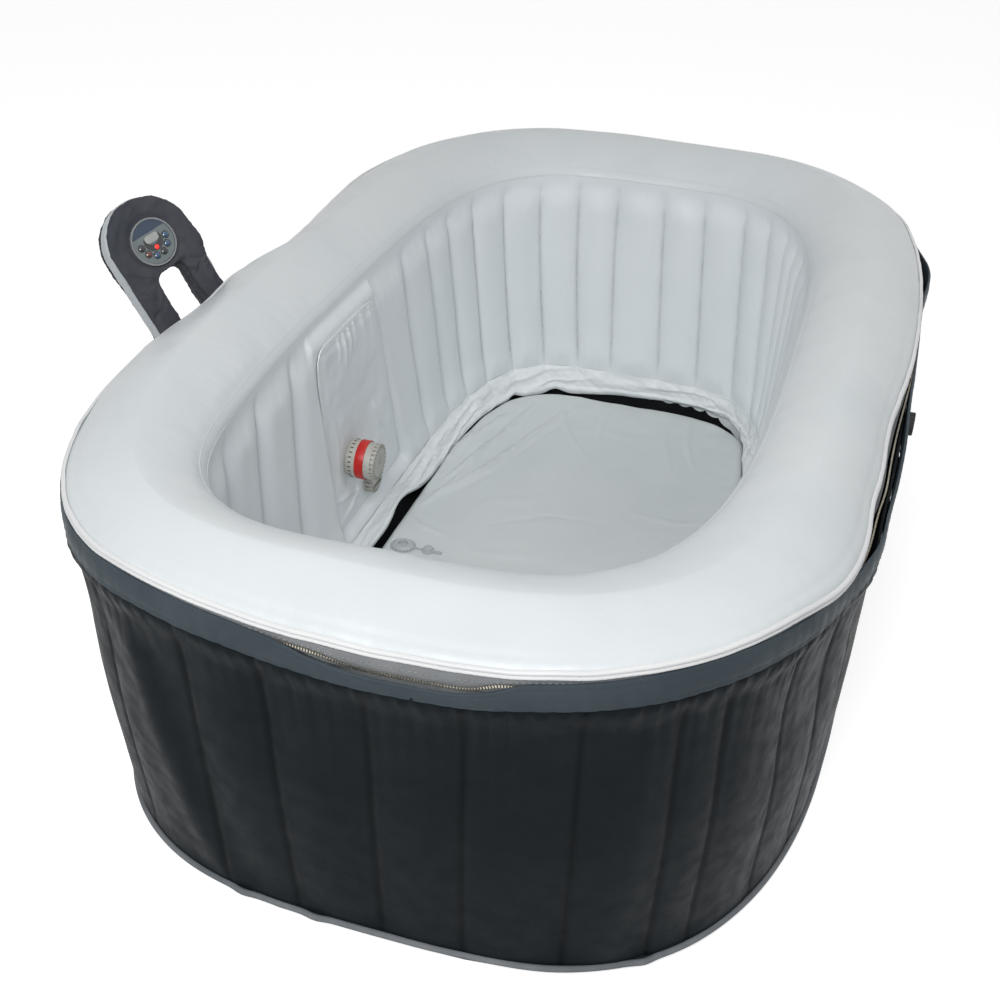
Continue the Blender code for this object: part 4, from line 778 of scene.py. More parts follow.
@dataclass(frozen=True)
class Moulding:
    """Injection-moulded plastic: fine sparked texture, slightly uneven colour and gloss."""

    name: str
    base: tuple[float, float, float]
    shade: tuple[float, float, float]
    roughness: float = 0.42
    metallic: float = 0.0
    coat: float = 0.0
    transmission: float = 0.0
    glow: tuple[float, float, float] | None = None
    glow_strength: float = 0.0

    def make(self) -> Finish:
        """The material."""
        s = new_shader(self.name)
        cloud = s.noise(45.0, 4.0, 0.6)
        share = s.step(s.maths("ADD", cloud, s.maths("MULTIPLY", s.noise(700.0, 2.0), 0.2)), 0.35, 0.9)
        s.colour(s.blend(share, self.base, self.shade))
        s.roughness(s.step(s.noise(120.0, 3.0), 0.25, 0.8, self.roughness - 0.06, self.roughness + 0.08))
        s.bumps((s.noise(1500.0, 2.0), 0.00005))
        s.plain(Metallic=self.metallic, Coat_Weight=self.coat, Transmission_Weight=self.transmission, IOR=1.47)
        if self.glow is not None:
            s.plain(Emission_Color=(*self.glow, 1.0), Emission_Strength=self.glow_strength)
        return s.material


def dress(thing: Thing, material: Finish) -> Thing:
    """Give a piece one material."""
    thing.data.materials.clear()
    thing.data.materials.append(material)
    return thing


def dress_solid(node: str, material: Finish) -> None:
    """Give a solid that stays shown its material."""
    dress(frame["nodes"][node], material)


def note(piece: Thing) -> None:
    """Log a finished piece."""
    LOG.info("made %s, %d corners", piece.name, len(piece.data.vertices))


def wire(tree: bpy.types.NodeTree, *rows: tuple[bpy.types.Node, str | int, bpy.types.Node, str | int]) -> None:
    """Link nodes, each row from a node's output to a node's input."""
    for source, out, target, into in rows:
        tree.links.new(source.outputs[out], target.inputs[into])


def set_inputs(modifier: bpy.types.Modifier, values: dict[str, float]) -> None:
    """Set a Geometry Nodes modifier's inputs by their names."""
    for item in modifier.node_group.interface.items_tree:
        if item.in_out == "INPUT" and item.name in values:
            modifier[item.identifier] = values[item.name]


# Repeats by Geometry Nodes

class Repeat(Enum):
    """What is repeated along a path."""

    STITCH = "stitch"
    TOOTH = "tooth"


@dataclass(frozen=True)
class PathRepeat:
    """Small equal pieces set along one or more paths by a Geometry Nodes tree."""

    name: str
    kind: Repeat
    spacing: float
    length: float
    thickness: float
    depth: float

    def tree(self, material: Finish) -> bpy.types.GeometryNodeTree:
        """The tree, with its sizes as named inputs."""
        tree = bpy.data.node_groups.new(self.name, "GeometryNodeTree")
        face = tree.interface
        face.new_socket("Geometry", in_out="INPUT", socket_type="NodeSocketGeometry")
        for label in ("Spacing", "Length", "Thickness", "Depth"):
            face.new_socket(label, in_out="INPUT", socket_type="NodeSocketFloat")
        face.new_socket("Geometry", in_out="OUTPUT", socket_type="NodeSocketGeometry")
        new = tree.nodes.new
        start, end = new("NodeGroupInput"), new("NodeGroupOutput")
        path = new("GeometryNodeMeshToCurve")
        resample = new("GeometryNodeResampleCurve")
        resample.mode = "LENGTH"
        tangent = new("GeometryNodeInputTangent")
        turn = new("FunctionNodeAlignRotationToVector")
        turn.axis = "X"
        size = new("ShaderNodeCombineXYZ")
        place = new("GeometryNodeInstanceOnPoints")
        if self.kind is Repeat.STITCH:
            shape = new("GeometryNodeMeshIcoSphere")
            shape.inputs["Radius"].default_value = 0.5
            shape.inputs["Subdivisions"].default_value = 1
        else:
            shape = new("GeometryNodeMeshCube")
        smooth = new("GeometryNodeSetShadeSmooth")
        smooth.inputs["Shade Smooth"].default_value = self.kind is Repeat.STITCH
        real = new("GeometryNodeRealizeInstances")
        paint = new("GeometryNodeSetMaterial")
        paint.inputs["Material"].default_value = material
        wire(
            tree, (start, "Geometry", path, "Mesh"), (path, "Curve", resample, "Curve"),
            (start, "Spacing", resample, "Length"), (tangent, "Tangent", turn, "Vector"),
            (resample, "Curve", place, "Points"), (shape, "Mesh", place, "Instance"),
            (turn, "Rotation", place, "Rotation"), (start, "Length", size, "X"), (start, "Depth", size, "Y"),
            (start, "Thickness", size, "Z"), (size, "Vector", place, "Scale"), (place, "Instances", smooth, "Geometry"),
            (smooth, "Geometry", real, "Geometry"), (real, "Geometry", paint, "Geometry"),
            (paint, "Geometry", end, "Geometry"),
        )
        return tree

    def make(self, paths: Sequence[Array], material: Finish, closed: bool = True) -> Thing:
        """Set the pieces along the paths.

        Args:
            paths: points of each path, (n, 3).
            material: the pieces' finish.
            closed: whether each path joins its own start.

        Returns:
            All the pieces as one mesh.
        """
        mesh = bpy.data.meshes.new(self.name)
        edges, start = [], 0
        for path in paths:
            last = len(path) if closed else len(path) - 1
            edges += [(start + i, start + (i + 1) % len(path)) for i in range(last)]
            start += len(path)
        mesh.from_pydata(np.concatenate(paths).tolist(), edges, [])
        thing = new_thing(self.name, mesh)
        modifier = thing.modifiers.new(self.name, "NODES")
        modifier.node_group = self.tree(material)
        sizes = {"Spacing": self.spacing, "Length": self.length, "Thickness": self.thickness, "Depth": self.depth}
        set_inputs(modifier, sizes)
        return dress(with_modifiers(thing), material)


@dataclass(frozen=True)
class RoundRibs:
    """Equal ribs round a turned piece, made by a Geometry Nodes tree."""

    name: str
    count: int
    radius: float
    width: float
    length: float
    depth: float

    def make(self, place: Matrix, low: float, material: Finish) -> Thing:
        """Set the ribs.

        Args:
            place: frame of the axis.
            low: height of the ribs' lower ends on the axis.
            material: their finish.

        Returns:
            All the ribs as one mesh.
        """
        tree = bpy.data.node_groups.new(self.name, "GeometryNodeTree")
        face = tree.interface
        labels = {"Radius": self.radius, "Width": self.width, "Length": self.length, "Depth": self.depth}
        for label in labels:
            face.new_socket(label, in_out="INPUT", socket_type="NodeSocketFloat")
        face.new_socket("Count", in_out="INPUT", socket_type="NodeSocketInt")
        face.new_socket("Geometry", in_out="OUTPUT", socket_type="NodeSocketGeometry")
        new = tree.nodes.new
        start, end = new("NodeGroupInput"), new("NodeGroupOutput")
        ring = new("GeometryNodeCurvePrimitiveCircle")
        tangent = new("GeometryNodeInputTangent")
        turn = new("FunctionNodeAlignRotationToVector")
        turn.axis = "Y"
        cube, size = new("GeometryNodeMeshCube"), new("ShaderNodeCombineXYZ")
        points = new("GeometryNodeInstanceOnPoints")
        real, paint = new("GeometryNodeRealizeInstances"), new("GeometryNodeSetMaterial")
        paint.inputs["Material"].default_value = material
        wire(
            tree, (start, "Count", ring, "Resolution"), (start, "Radius", ring, "Radius"),
            (start, "Depth", size, "X"), (start, "Width", size, "Y"), (start, "Length", size, "Z"),
            (size, "Vector", cube, "Size"), (tangent, "Tangent", turn, "Vector"), (ring, "Curve", points, "Points"),
            (cube, "Mesh", points, "Instance"), (turn, "Rotation", points, "Rotation"),
            (points, "Instances", real, "Geometry"), (real, "Geometry", paint, "Geometry"),
            (paint, "Geometry", end, "Geometry"),
        )
        thing = new_thing(self.name, bpy.data.meshes.new(self.name))
        modifier = thing.modifiers.new(self.name, "NODES")
        modifier.node_group = tree
        set_inputs(modifier, {**labels, "Count": self.count})
        with_modifiers(thing)
        thing.data.transform(place @ Matrix.Translation((0, 0, low + self.length / 2)))
        return dress(thing, material)


# Outer cover, zip and top tube

@dataclass(frozen=True)
class Plan:
    """Sizes that the tub's rings share."""

    top: Oval = Oval(0.555, 0.930, 3.3)
    foot: Oval = Oval(0.540, 0.845, 3.2)
    inner: Oval = Oval(0.3759, 0.7509, 3.45)
    steps: int = 1296
    jacket_low: float = 0.0033
    jacket_high: float = 0.5058
    seam: float = 0.553
    crest: float = 0.600
    rim_foot: float = 0.535
    weld: float = 0.549

    @property
    def course(self) -> Course:
        """Even steps round the outside."""
        return Course(self.top, self.steps)

    def jacket_oval(self, height: float, straight: bool = False) -> Oval:
        """The jacket's outside at a height, bowed along its length or straight."""
        share = min(max(height / self.jacket_high, 0.0), 1.0)
        lean = share if straight else math.sin(share * math.pi / 2)
        return Oval(
            self.foot.half_width + (self.top.half_width - self.foot.half_width) * share,
            self.foot.half_length + (self.top.half_length - self.foot.half_length) * lean,
            self.foot.power + (self.top.power - self.foot.power) * share,
        )

    def jacket_loop(self, angles: Array, height: float, out: float | Array = 0.0) -> Array:
        """The jacket's plain form at a height: bowed at the far end, pulled straight at the near end."""
        bowed = loop(self.jacket_oval(height), angles, height, out)
        taut = loop(self.jacket_oval(height, True), angles, height, out)
        near = ease(-bowed[:, 1], -0.55, 0.10)[:, None]
        return bowed * (1 - near) + taut * near

    def corner_room(self, points: Array) -> Array:
        """How much wider the near left corner of the opening is than its plain form."""
        return 0.023 * np.exp(-(np.hypot(points[:, 0] + 0.285, points[:, 1] + 0.690) / 0.27) ** 2 * 2)

    def seam_pull(self, run: Array) -> Array:
        """How far the welted seam is drawn in, or stands out where the number is negative."""
        return bells(run, ((0.555, -0.220, 0.28, 0.021), (0.555, -0.420, 0.10, 0.008), (0.530, -0.620, 0.10, -0.006)))

    def seam_lift(self, run: Array) -> Array:
        """How far the zip line waves up or down, along its run."""
        places = [0.0, 0.30, 0.64, 0.95, 1.28, 1.62, 1.92, 2.10, 2.20, 2.30, 2.40, 2.49, 2.56, 2.60, 2.64, 2.72,
                  2.80, 2.90, 3.20, 3.42, 3.58, 3.68, 3.76, 3.86, 3.98, 4.09, 4.18, 4.28, 4.38, 4.47, 4.60, 4.80,
                  self.course.length]
        lifts = [-8, -4, 8, 0, -9, 0, 8, 3, -11, -24, -30, -28, -13, -8, -9, -16,
                 -12, -5, 0, 1, 5, -4, -12, -14, -10, -2, 6, 10, 7, -3, -9, -9,
                 -8]
        raw = np.interp(run, places, np.array(lifts) * 0.001)
        if run.size < 200:
            return raw
        kernel = np.hanning(25)
        kernel /= kernel.sum()
        return np.convolve(np.concatenate([raw[-12:], raw, raw[:12]]), kernel, "valid")


PLAN = Plan()


@dataclass(frozen=True)
class ZipLine:
    """How the zip lies round the tub: where its band gapes, covers its teeth or stands off."""

    def gape(self, run: Array) -> Array:
        """How far the band's top edge sags below the teeth."""
        length = PLAN.course.length
        near = PLAN.course.place(0.060, -0.93)
        slack = 0.012 * round_hump(run, near, 0.165, length) + 0.004 * round_hump(run, near + 0.075, 0.05, length)
        return slack + 0.011 * round_hump(run, PLAN.course.place(0.555, -0.24), 0.24, length)

    def cover(self, run: Array) -> Array:
        """How far the band's top edge stands above the teeth and hides them."""
        cloud = Cloud(41).at(lengthwise(run), 0.09)
        tight = 1 - ease(self.gape(run), 0.0015, 0.0060)
        return (0.0078 + 0.0020 * ease(cloud, -0.3, 0.3)) * tight

    def stand_off(self, run: Array) -> Array:
        """How far the band and the jacket's edge hang away from the tub."""
        total = bells(run, (
            (-0.555, 0.196, 0.060, 0.012), (-0.555, 0.085, 0.045, 0.010), (-0.555, 0.330, 0.050, 0.006),
            (0.555, 0.450, 0.150, 0.017), (0.555, -0.490, 0.110, 0.009), (-0.500, -0.640, 0.120, 0.004),
            (0.045, -0.930, 0.190, 0.004),
        ))
        wave = Cloud(17).at(lengthwise(run), 0.045)
        return total + 0.0012 * np.clip(wave, -0.5, 1) * ease(total, 0.001, 0.006) + 0.0006


@dataclass(frozen=True)
class Jacket:
    """The dark cover round the tub: panels between seams, gathered under the zip band."""

    rows: int = 60
    thickness: float = 0.003
    shoulder: float = 0.0030
    shoulder_drop: float = 0.010
    waist: float = 0.0095
    corner_in: float = 0.0095
    gather: float = 0.0048
    gather_spacing: float = 0.0235
    seam_depth: float = 0.0024
    seam_width: float = 0.0045
    seam_marks: tuple[float, ...] = (-0.391, -0.222, -0.109, 0.022, 0.139, 0.279, 0.395, 0.462)
    soft_folds: tuple[tuple[float, float, float], ...] = (
        (-0.330, 0.22, 0.0060), (-0.285, 0.25, -0.0030), (0.360, -0.05, 0.0022), (-0.060, 0.02, 0.0016),
    )

    def seams(self) -> list[float]:
        """Where the upright seams stand, as runs along the course: the near end's own, then even ones."""
        course = PLAN.course
        near = [course.place(x, -0.93 + 0.6 * max(0.0, abs(x) - 0.30)) for x in self.seam_marks]
        span = course.length - (near[-1] - near[0])
        count = round(span / 0.135)
        return near + [(near[-1] + span * (i + 1) / count) % course.length for i in range(count - 1)]

    def relief(self, run: Array, height: float, points: Array) -> tuple[Array, Array]:
        """How far the cover stands out of its plain form, and how near a seam is.

        Args:
            run: length along the course at each point.
            height: the loop's height.
            points: the loop's plain points.

        Returns:
            Distance out at each point, and the seam's strength from 0 to 1.
        """
        length, top = PLAN.course.length, PLAN.jacket_high
        drop = top - height
        rise = height - PLAN.jacket_low
        round_out = self.shoulder * (1 - math.exp(-drop / self.shoulder_drop))
        body = round_out * float(ease(np.array(rise), 0.0, 0.30)) ** 0.7
        body -= self.waist * math.exp(-((height - 0.435) / 0.120) ** 2) * float(ease(np.array(drop), 0.0, 0.045))
        corner = round_hump(run, PLAN.course.place(0.530, -0.620), 0.15, length)
        body = body - self.corner_in * corner * float(hump(np.array(height), 0.345, 0.15))
        strength = 0.45 + 0.55 * Cloud(5).at(lengthwise(run), 0.16)
        for middle, half in ((3.44, 0.16), (3.99, 0.16), (4.26, 0.16), (3.10, 0.25), (4.65, 0.25)):
            strength = strength + 0.5 * round_hump(run, middle, half, length)
        strength = np.clip(strength, 0.1, 1.25)
        reach = 0.030 + 0.030 * strength
        fade = np.exp(-drop / reach) * ease(np.full(run.shape, drop), -0.002, 0.014)
        lean = run + 0.006 * Cloud(9).at(np.stack([run, run * 0, run * 0 + height], axis=-1), 0.09)
        gathers = self.gather * strength * fade * (puckers(lean, self.gather_spacing, 3) - 0.6)
        gathers += 0.4 * self.gather * fade * (puckers(lean, self.gather_spacing * 0.43, 4) - 0.6)
        sway = points + np.array([0.0, 0.0, height * 0.25])
        long_folds = 0.0016 * Cloud(21).at(sway, (0.13, 0.13, 0.60)) + 0.0004 * Cloud(22).at(sway, (0.045, 0.045, 0.20))
        for x, lean_x, deep in self.soft_folds:
            middle = PLAN.course.place(x + lean_x * drop, -0.90)
            long_folds += deep * round_hump(run, middle, 0.040, length) * float(ease(np.array(drop), 0.02, 0.10))
        creases = Cloud(23).at(sway, (0.16, 0.16, 0.07))
        long_folds += 0.0004 * (1 - np.abs(creases) * 2.2).clip(0, 1) * float(ease(np.array(drop), 0.05, 0.15))
        calm = float(ease(np.array(rise), 0.0, 0.05))
        seam = np.zeros(run.shape)
        for place in self.seams():
            away = (run - place + length / 2) % length - length / 2
            seam = np.maximum(seam, np.exp(-(away / self.seam_width) ** 2))
            body = body - 0.0035 * np.exp(-(away / 0.030) ** 2) * calm
        foot_in = 0.004 * math.exp(-rise / 0.006)
        return body + (gathers + long_folds - self.seam_depth * seam) * calm - foot_in, seam

    def make(self, line: ZipLine, material: Finish) -> Thing:
        """Build the cover."""
        course = PLAN.course
        run, angles = course.runs, course.angles
        share = 1 - (1 - np.linspace(0, 1, self.rows)) ** 1.55
        heights = PLAN.jacket_low + (PLAN.jacket_high - PLAN.jacket_low) * share
        lift, off = PLAN.seam_lift(run), line.stand_off(run)
        outside, marks = [], []
        for height in heights:
            plain = PLAN.jacket_loop(angles, height)
            out, seam = self.relief(run, height, plain)
            hang = off * float(ease(np.array(height), 0.26, PLAN.jacket_high)) ** 1.4
            row = PLAN.jacket_loop(angles, height, out + hang)
            row[:, 2] = height + lift * float(ease(np.array(height), 0.18, PLAN.jacket_high))
            outside.append(row)
            marks.append(seam)
        tuck = PLAN.jacket_loop(angles, PLAN.jacket_high, off - 0.0036)
        tuck[:, 2] = PLAN.jacket_high + 0.0085 + lift
        outside.append(tuck)
        marks.append(marks[-1] * 0)
        inside = []
        for row in outside[::-12]:
            middle = row.copy()
            away = normals_of(np.stack([row, row + (0, 0, 0.01)]), False)[0]
            inside.append(middle - away * self.thickness)
        foot = outside[0] - normals_of(np.stack([outside[0], outside[0] + (0, 0, 0.01)]), False)[0] * self.thickness
        grid = np.stack(outside + inside + [foot])
        fields = np.stack(marks + [np.zeros(run.shape)] * (len(inside) + 1))
        piece = dress(skin("jacket_cover", grid, True, {"seam": fields}), material)
        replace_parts(piece, "jacket_wall")
        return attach(piece, "tub")

    def piping(self, material: Finish) -> Thing:
        """Build the cord round the foot."""
        course = PLAN.course
        run, angles = course.runs[::2], course.angles[::2]
        lie = 0.0014 * Cloud(31).at(PLAN.jacket_loop(angles, 0.012), 0.09)
        for x, y in ((-0.185, -0.845), (-0.08, -0.845), (0.33, -0.80)):
            lie = lie + 0.0035 * round_hump(run, course.place(x, y), 0.022, course.length)
        rows = []
        for i in range(8):
            turn = 2 * math.pi * i / 8
            row = PLAN.jacket_loop(angles, 0.012, 0.0010 + lie + 0.0045 * math.cos(turn))
            row[:, 2] = 0.0105 + 0.0045 * math.sin(turn)
            rows.append(row)
        piece = dress(skin("foot_cord", np.stack(rows)[::-1]), material)
        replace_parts(piece, "foot_piping")
        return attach(piece, "tub")


@dataclass(frozen=True)
class ZipClosure:
    """The band, tape, teeth and stitches that join the cover to the top tube."""

    band_low: float = 0.5061
    band_high: float = 0.5361
    band_thickness: float = 0.003
    tape_low: float = 0.5364
    tape_high: float = 0.5464

    def band(self, line: ZipLine, material: Finish) -> tuple[Thing, list[Array]]:
        """Build the band.

        Returns:
            The piece, and the paths of its two stitch lines.
        """
        course = PLAN.course
        run, angles = course.runs, course.angles
        lift, off = PLAN.seam_lift(run), line.stand_off(run)
        high = self.band_high - line.gape(run) + line.cover(run)
        low = self.band_low - 0.25 * line.gape(run)
        lip = 0.0030 * ease(line.gape(run), 0.002, 0.010)
        ripple = 0.0009 * (puckers(run, 0.0235, 3) - 0.6) + 0.0014 * Cloud(43).at(loop(PLAN.top, angles, 0.0), 0.06)
        section = [(0.0, 0.0008), (0.05, 0.0021), (0.16, 0.0015), (0.22, 0.0023), (0.40, 0.0030), (0.60, 0.0030),
                   (0.78, 0.0023), (0.84, 0.0015), (0.94, 0.0020), (1.0, 0.0008)]
        rows = []
        for share, proud in section:
            out = off + proud + ripple * (1.2 - share) + lip * ease(np.full(run.shape, share), 0.3, 1.0)
            rows.append(loop(PLAN.top, angles, low + (high - low) * share + lift, out))
        for share in (1.0, 0.5, 0.0):
            out = off - self.band_thickness + 0.0012 + ripple * (1.2 - share) + lip * share
            rows.append(loop(PLAN.top, angles, low + (high - low) * share + lift, out))
        piece = dress(skin("zip_flap", np.stack(rows)), material)
        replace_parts(piece, "zip_band")
        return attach(piece, "tub"), [rows[2], rows[7]]

    def tape(self, line: ZipLine, material: Finish) -> tuple[Thing, Array]:
        """Build the tub's half of the zip tape.

        Returns:
            The piece, and the path of its stitch line.
        """
        course = PLAN.course
        run, angles = course.runs, course.angles
        lift = PLAN.seam_lift(run)
        low = self.tape_low - 0.013 * ease(line.gape(run), 0.001, 0.008)
        wave = 0.0008 * Cloud(47).at(loop(PLAN.top, angles, 0.0), 0.03)
        rows = []
        pull = PLAN.seam_pull(run)
        section = ((0.0, -0.0040), (0.5, -0.0022), (1.0, -0.0008), (1.0, -0.0024), (0.5, -0.0040), (0.0, -0.0054))
        for share, out in section:
            away = out + wave - np.maximum(pull, 0.0) * (0.55 + 0.45 * share) - np.minimum(pull, 0.0)
            rows.append(loop(PLAN.top, angles, low + (self.tape_high - low) * share + lift, away))
        piece = dress(skin("tub_tape", np.stack(rows)), material)
        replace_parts(piece, "zip_tape")
        path = loop(PLAN.top, angles, low + (self.tape_high - low) * 0.62 + lift, wave - 0.0012 - pull * 0.76)
        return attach(piece, "tub"), path

    def teeth_path(self, line: ZipLine) -> Array:
        """Path of the zip's teeth, on the tape's lower edge."""
        course = PLAN.course
        run, angles = course.runs, course.angles
        height = self.band_high + 0.0016 - 0.010 * ease(line.gape(run), 0.004, 0.012) + PLAN.seam_lift(run)
        return loop(PLAN.top, angles, height, 0.0004 - 0.55 * np.maximum(PLAN.seam_pull(run), 0.0))

    def welt(self, material: Finish) -> Thing:
        """Build the white welted edge of the top tube."""
        course = PLAN.course
        run, angles = course.runs, course.angles
        base = PLAN.seam + PLAN.seam_lift(run)
        crimp = 0.0005 * (puckers(run, 0.0085, 51) - 0.5) + 0.0007 * Cloud(53).at(loop(PLAN.top, angles, 0.0), 0.025)
        droop = 0.0012 * Cloud(54).at(loop(PLAN.top, angles, 0.0), 0.05)
        section = [(-0.0058, 0.0002), (-0.0048, 0.0015), (-0.0034, 0.0019), (-0.0022, 0.0014), (-0.0012, 0.0002),
                   (-0.0002, 0.0002), (0.0008, 0.0013), (0.0022, 0.0018), (0.0036, 0.0014), (0.0046, 0.0002),
                   (0.0052, -0.0020), (0.0050, -0.0040), (-0.0058, -0.0030)]
        pull = PLAN.seam_pull(run)
        rows = []
        for up, out in section:
            rows.append(loop(PLAN.top, angles, base + up + droop, out - 0.0006 + crimp - pull))
        piece = dress(skin("welt_edge", np.stack(rows)), material)
        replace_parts(piece, "rim_welt")
        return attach(piece, "tub")


@dataclass(frozen=True)
class TopTube:
    """The round pale tube on top, from the welt over the crest to the inner weld."""

    width: float = 0.176
    crest_inset: float = 0.088
    roundness: float = 1.40
    side_inset: float = 0.004
    edge: float = 0.0031
    arc_rows: int = 26
    near_sag: float = 0.010
    foot_inset: float = 0.010
    weld_radius: float = 0.0009

    def section(self) -> list[tuple[float, float]]:
        """(inset, height) round the tube, from its outer foot."""
        made = [(self.side_inset, PLAN.rim_foot), (self.side_inset * 0.5, PLAN.rim_foot + 0.009), (0.0, PLAN.seam)]
        rise = PLAN.crest - PLAN.seam
        for i in range(1, self.arc_rows + 1):
            turn = math.pi / 2 * i / self.arc_rows
            inset = self.crest_inset * (1 - max(math.cos(turn), 0.0) ** self.roundness)
            made.append((inset, PLAN.seam + rise * math.sin(turn) ** self.roundness))
        drop, across = PLAN.crest - PLAN.rim_foot, self.width + self.foot_inset - self.crest_inset
        for i in range(1, self.arc_rows + 1):
            turn = math.pi / 2 * i / self.arc_rows
            made.append((self.crest_inset + across * math.sin(turn) ** self.roundness,
                         PLAN.rim_foot + drop * max(math.cos(turn), 0.0) ** self.roundness))
        return made + [(self.width / 2, PLAN.rim_foot)]

    def make(self, material: Finish) -> Thing:
        """Build the tube."""
        course = PLAN.course
        run, angles = course.runs, course.angles
        lift = PLAN.seam_lift(run)
        section = self.section()
        rows = []
        for inset, height in section:
            share = inset / self.width
            oval = Oval(PLAN.top.half_width - self.edge - inset, PLAN.top.half_length - self.edge - inset,
                        PLAN.top.power + (PLAN.inner.power - PLAN.top.power) * share)
            near = ease(-oval.points(angles)[:, 1], 0.45, 0.85)
            high = ease(np.array(height), PLAN.weld, PLAN.crest)
            away = PLAN.corner_room(oval.points(angles)) * share ** 1.5 - PLAN.seam_pull(run) * (1 - share) ** 2
            rows.append(loop(oval, angles, height + lift * (1 - share) ** 2 - self.near_sag * near * float(high), away))
        grid = np.stack(rows)
        out = normals_of(grid, True)
        insets = np.array([inset for inset, _ in section])[:, None]
        heights = np.array([height for _, height in section])[:, None]
        upper = ease(heights, PLAN.seam - 0.002, PLAN.seam + 0.010) + 0 * grid[..., 0]
        soft = 0.0030 * Cloud(61).at(grid, (0.20, 0.20, 0.4)) + 0.0010 * Cloud(62).at(grid, (0.07, 0.07, 0.1))
        strength = 0.35 + 0.65 * np.clip(Cloud(63).at(lengthwise(run), 0.22), 0, 1)
        pull = 0.0016 * strength * (puckers(run, 0.031, 64) - 0.6)
        outer = pull[None, :] * np.exp(-insets / 0.016)
        inner = 0.0012 * (puckers(run, 0.041, 66) - 0.6)[None, :] * np.exp(-(self.width - insets) / 0.020)
        weld_lines = -0.0010 * np.exp(-((insets - 0.013) / 0.0035) ** 2)
        change = upper * (soft + outer + inner + weld_lines)
        change[-2:] = 0
        shape = grid + out * change[..., None]
        row = int(np.argmin(np.abs(np.where(insets[:, 0] > self.crest_inset, heights[:, 0], 9.0) - PLAN.weld)))
        note(self.weld_bead(shape, out, row, material))
        piece = dress(skin("top_tube", shape), material)
        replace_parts(piece, "rim_tube")
        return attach(piece, "tub")

    def weld_bead(self, shape: Array, out: Array, row: int, material: Finish) -> Thing:
        """Build the thin raised line where the tube is welded to the wall.

        Args:
            shape: the tube's grid.
            out: the grid's normals.
            row: the grid's row that the weld follows.
            material: its finish.
        """
        along = shape[row + 1] - shape[row - 1]
        along /= np.linalg.norm(along, axis=-1, keepdims=True)
        turns = np.linspace(0, 2 * np.pi, 8, endpoint=False)
        rows = [
            shape[row] + self.weld_radius * (out[row] * (math.cos(turn) - 0.45) + along * math.sin(turn))
            for turn in turns
        ]
        piece = dress(skin("inner_weld", np.stack(rows)), material)
        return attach(piece, "tub")


# Inside: wall, equipment panel, floor

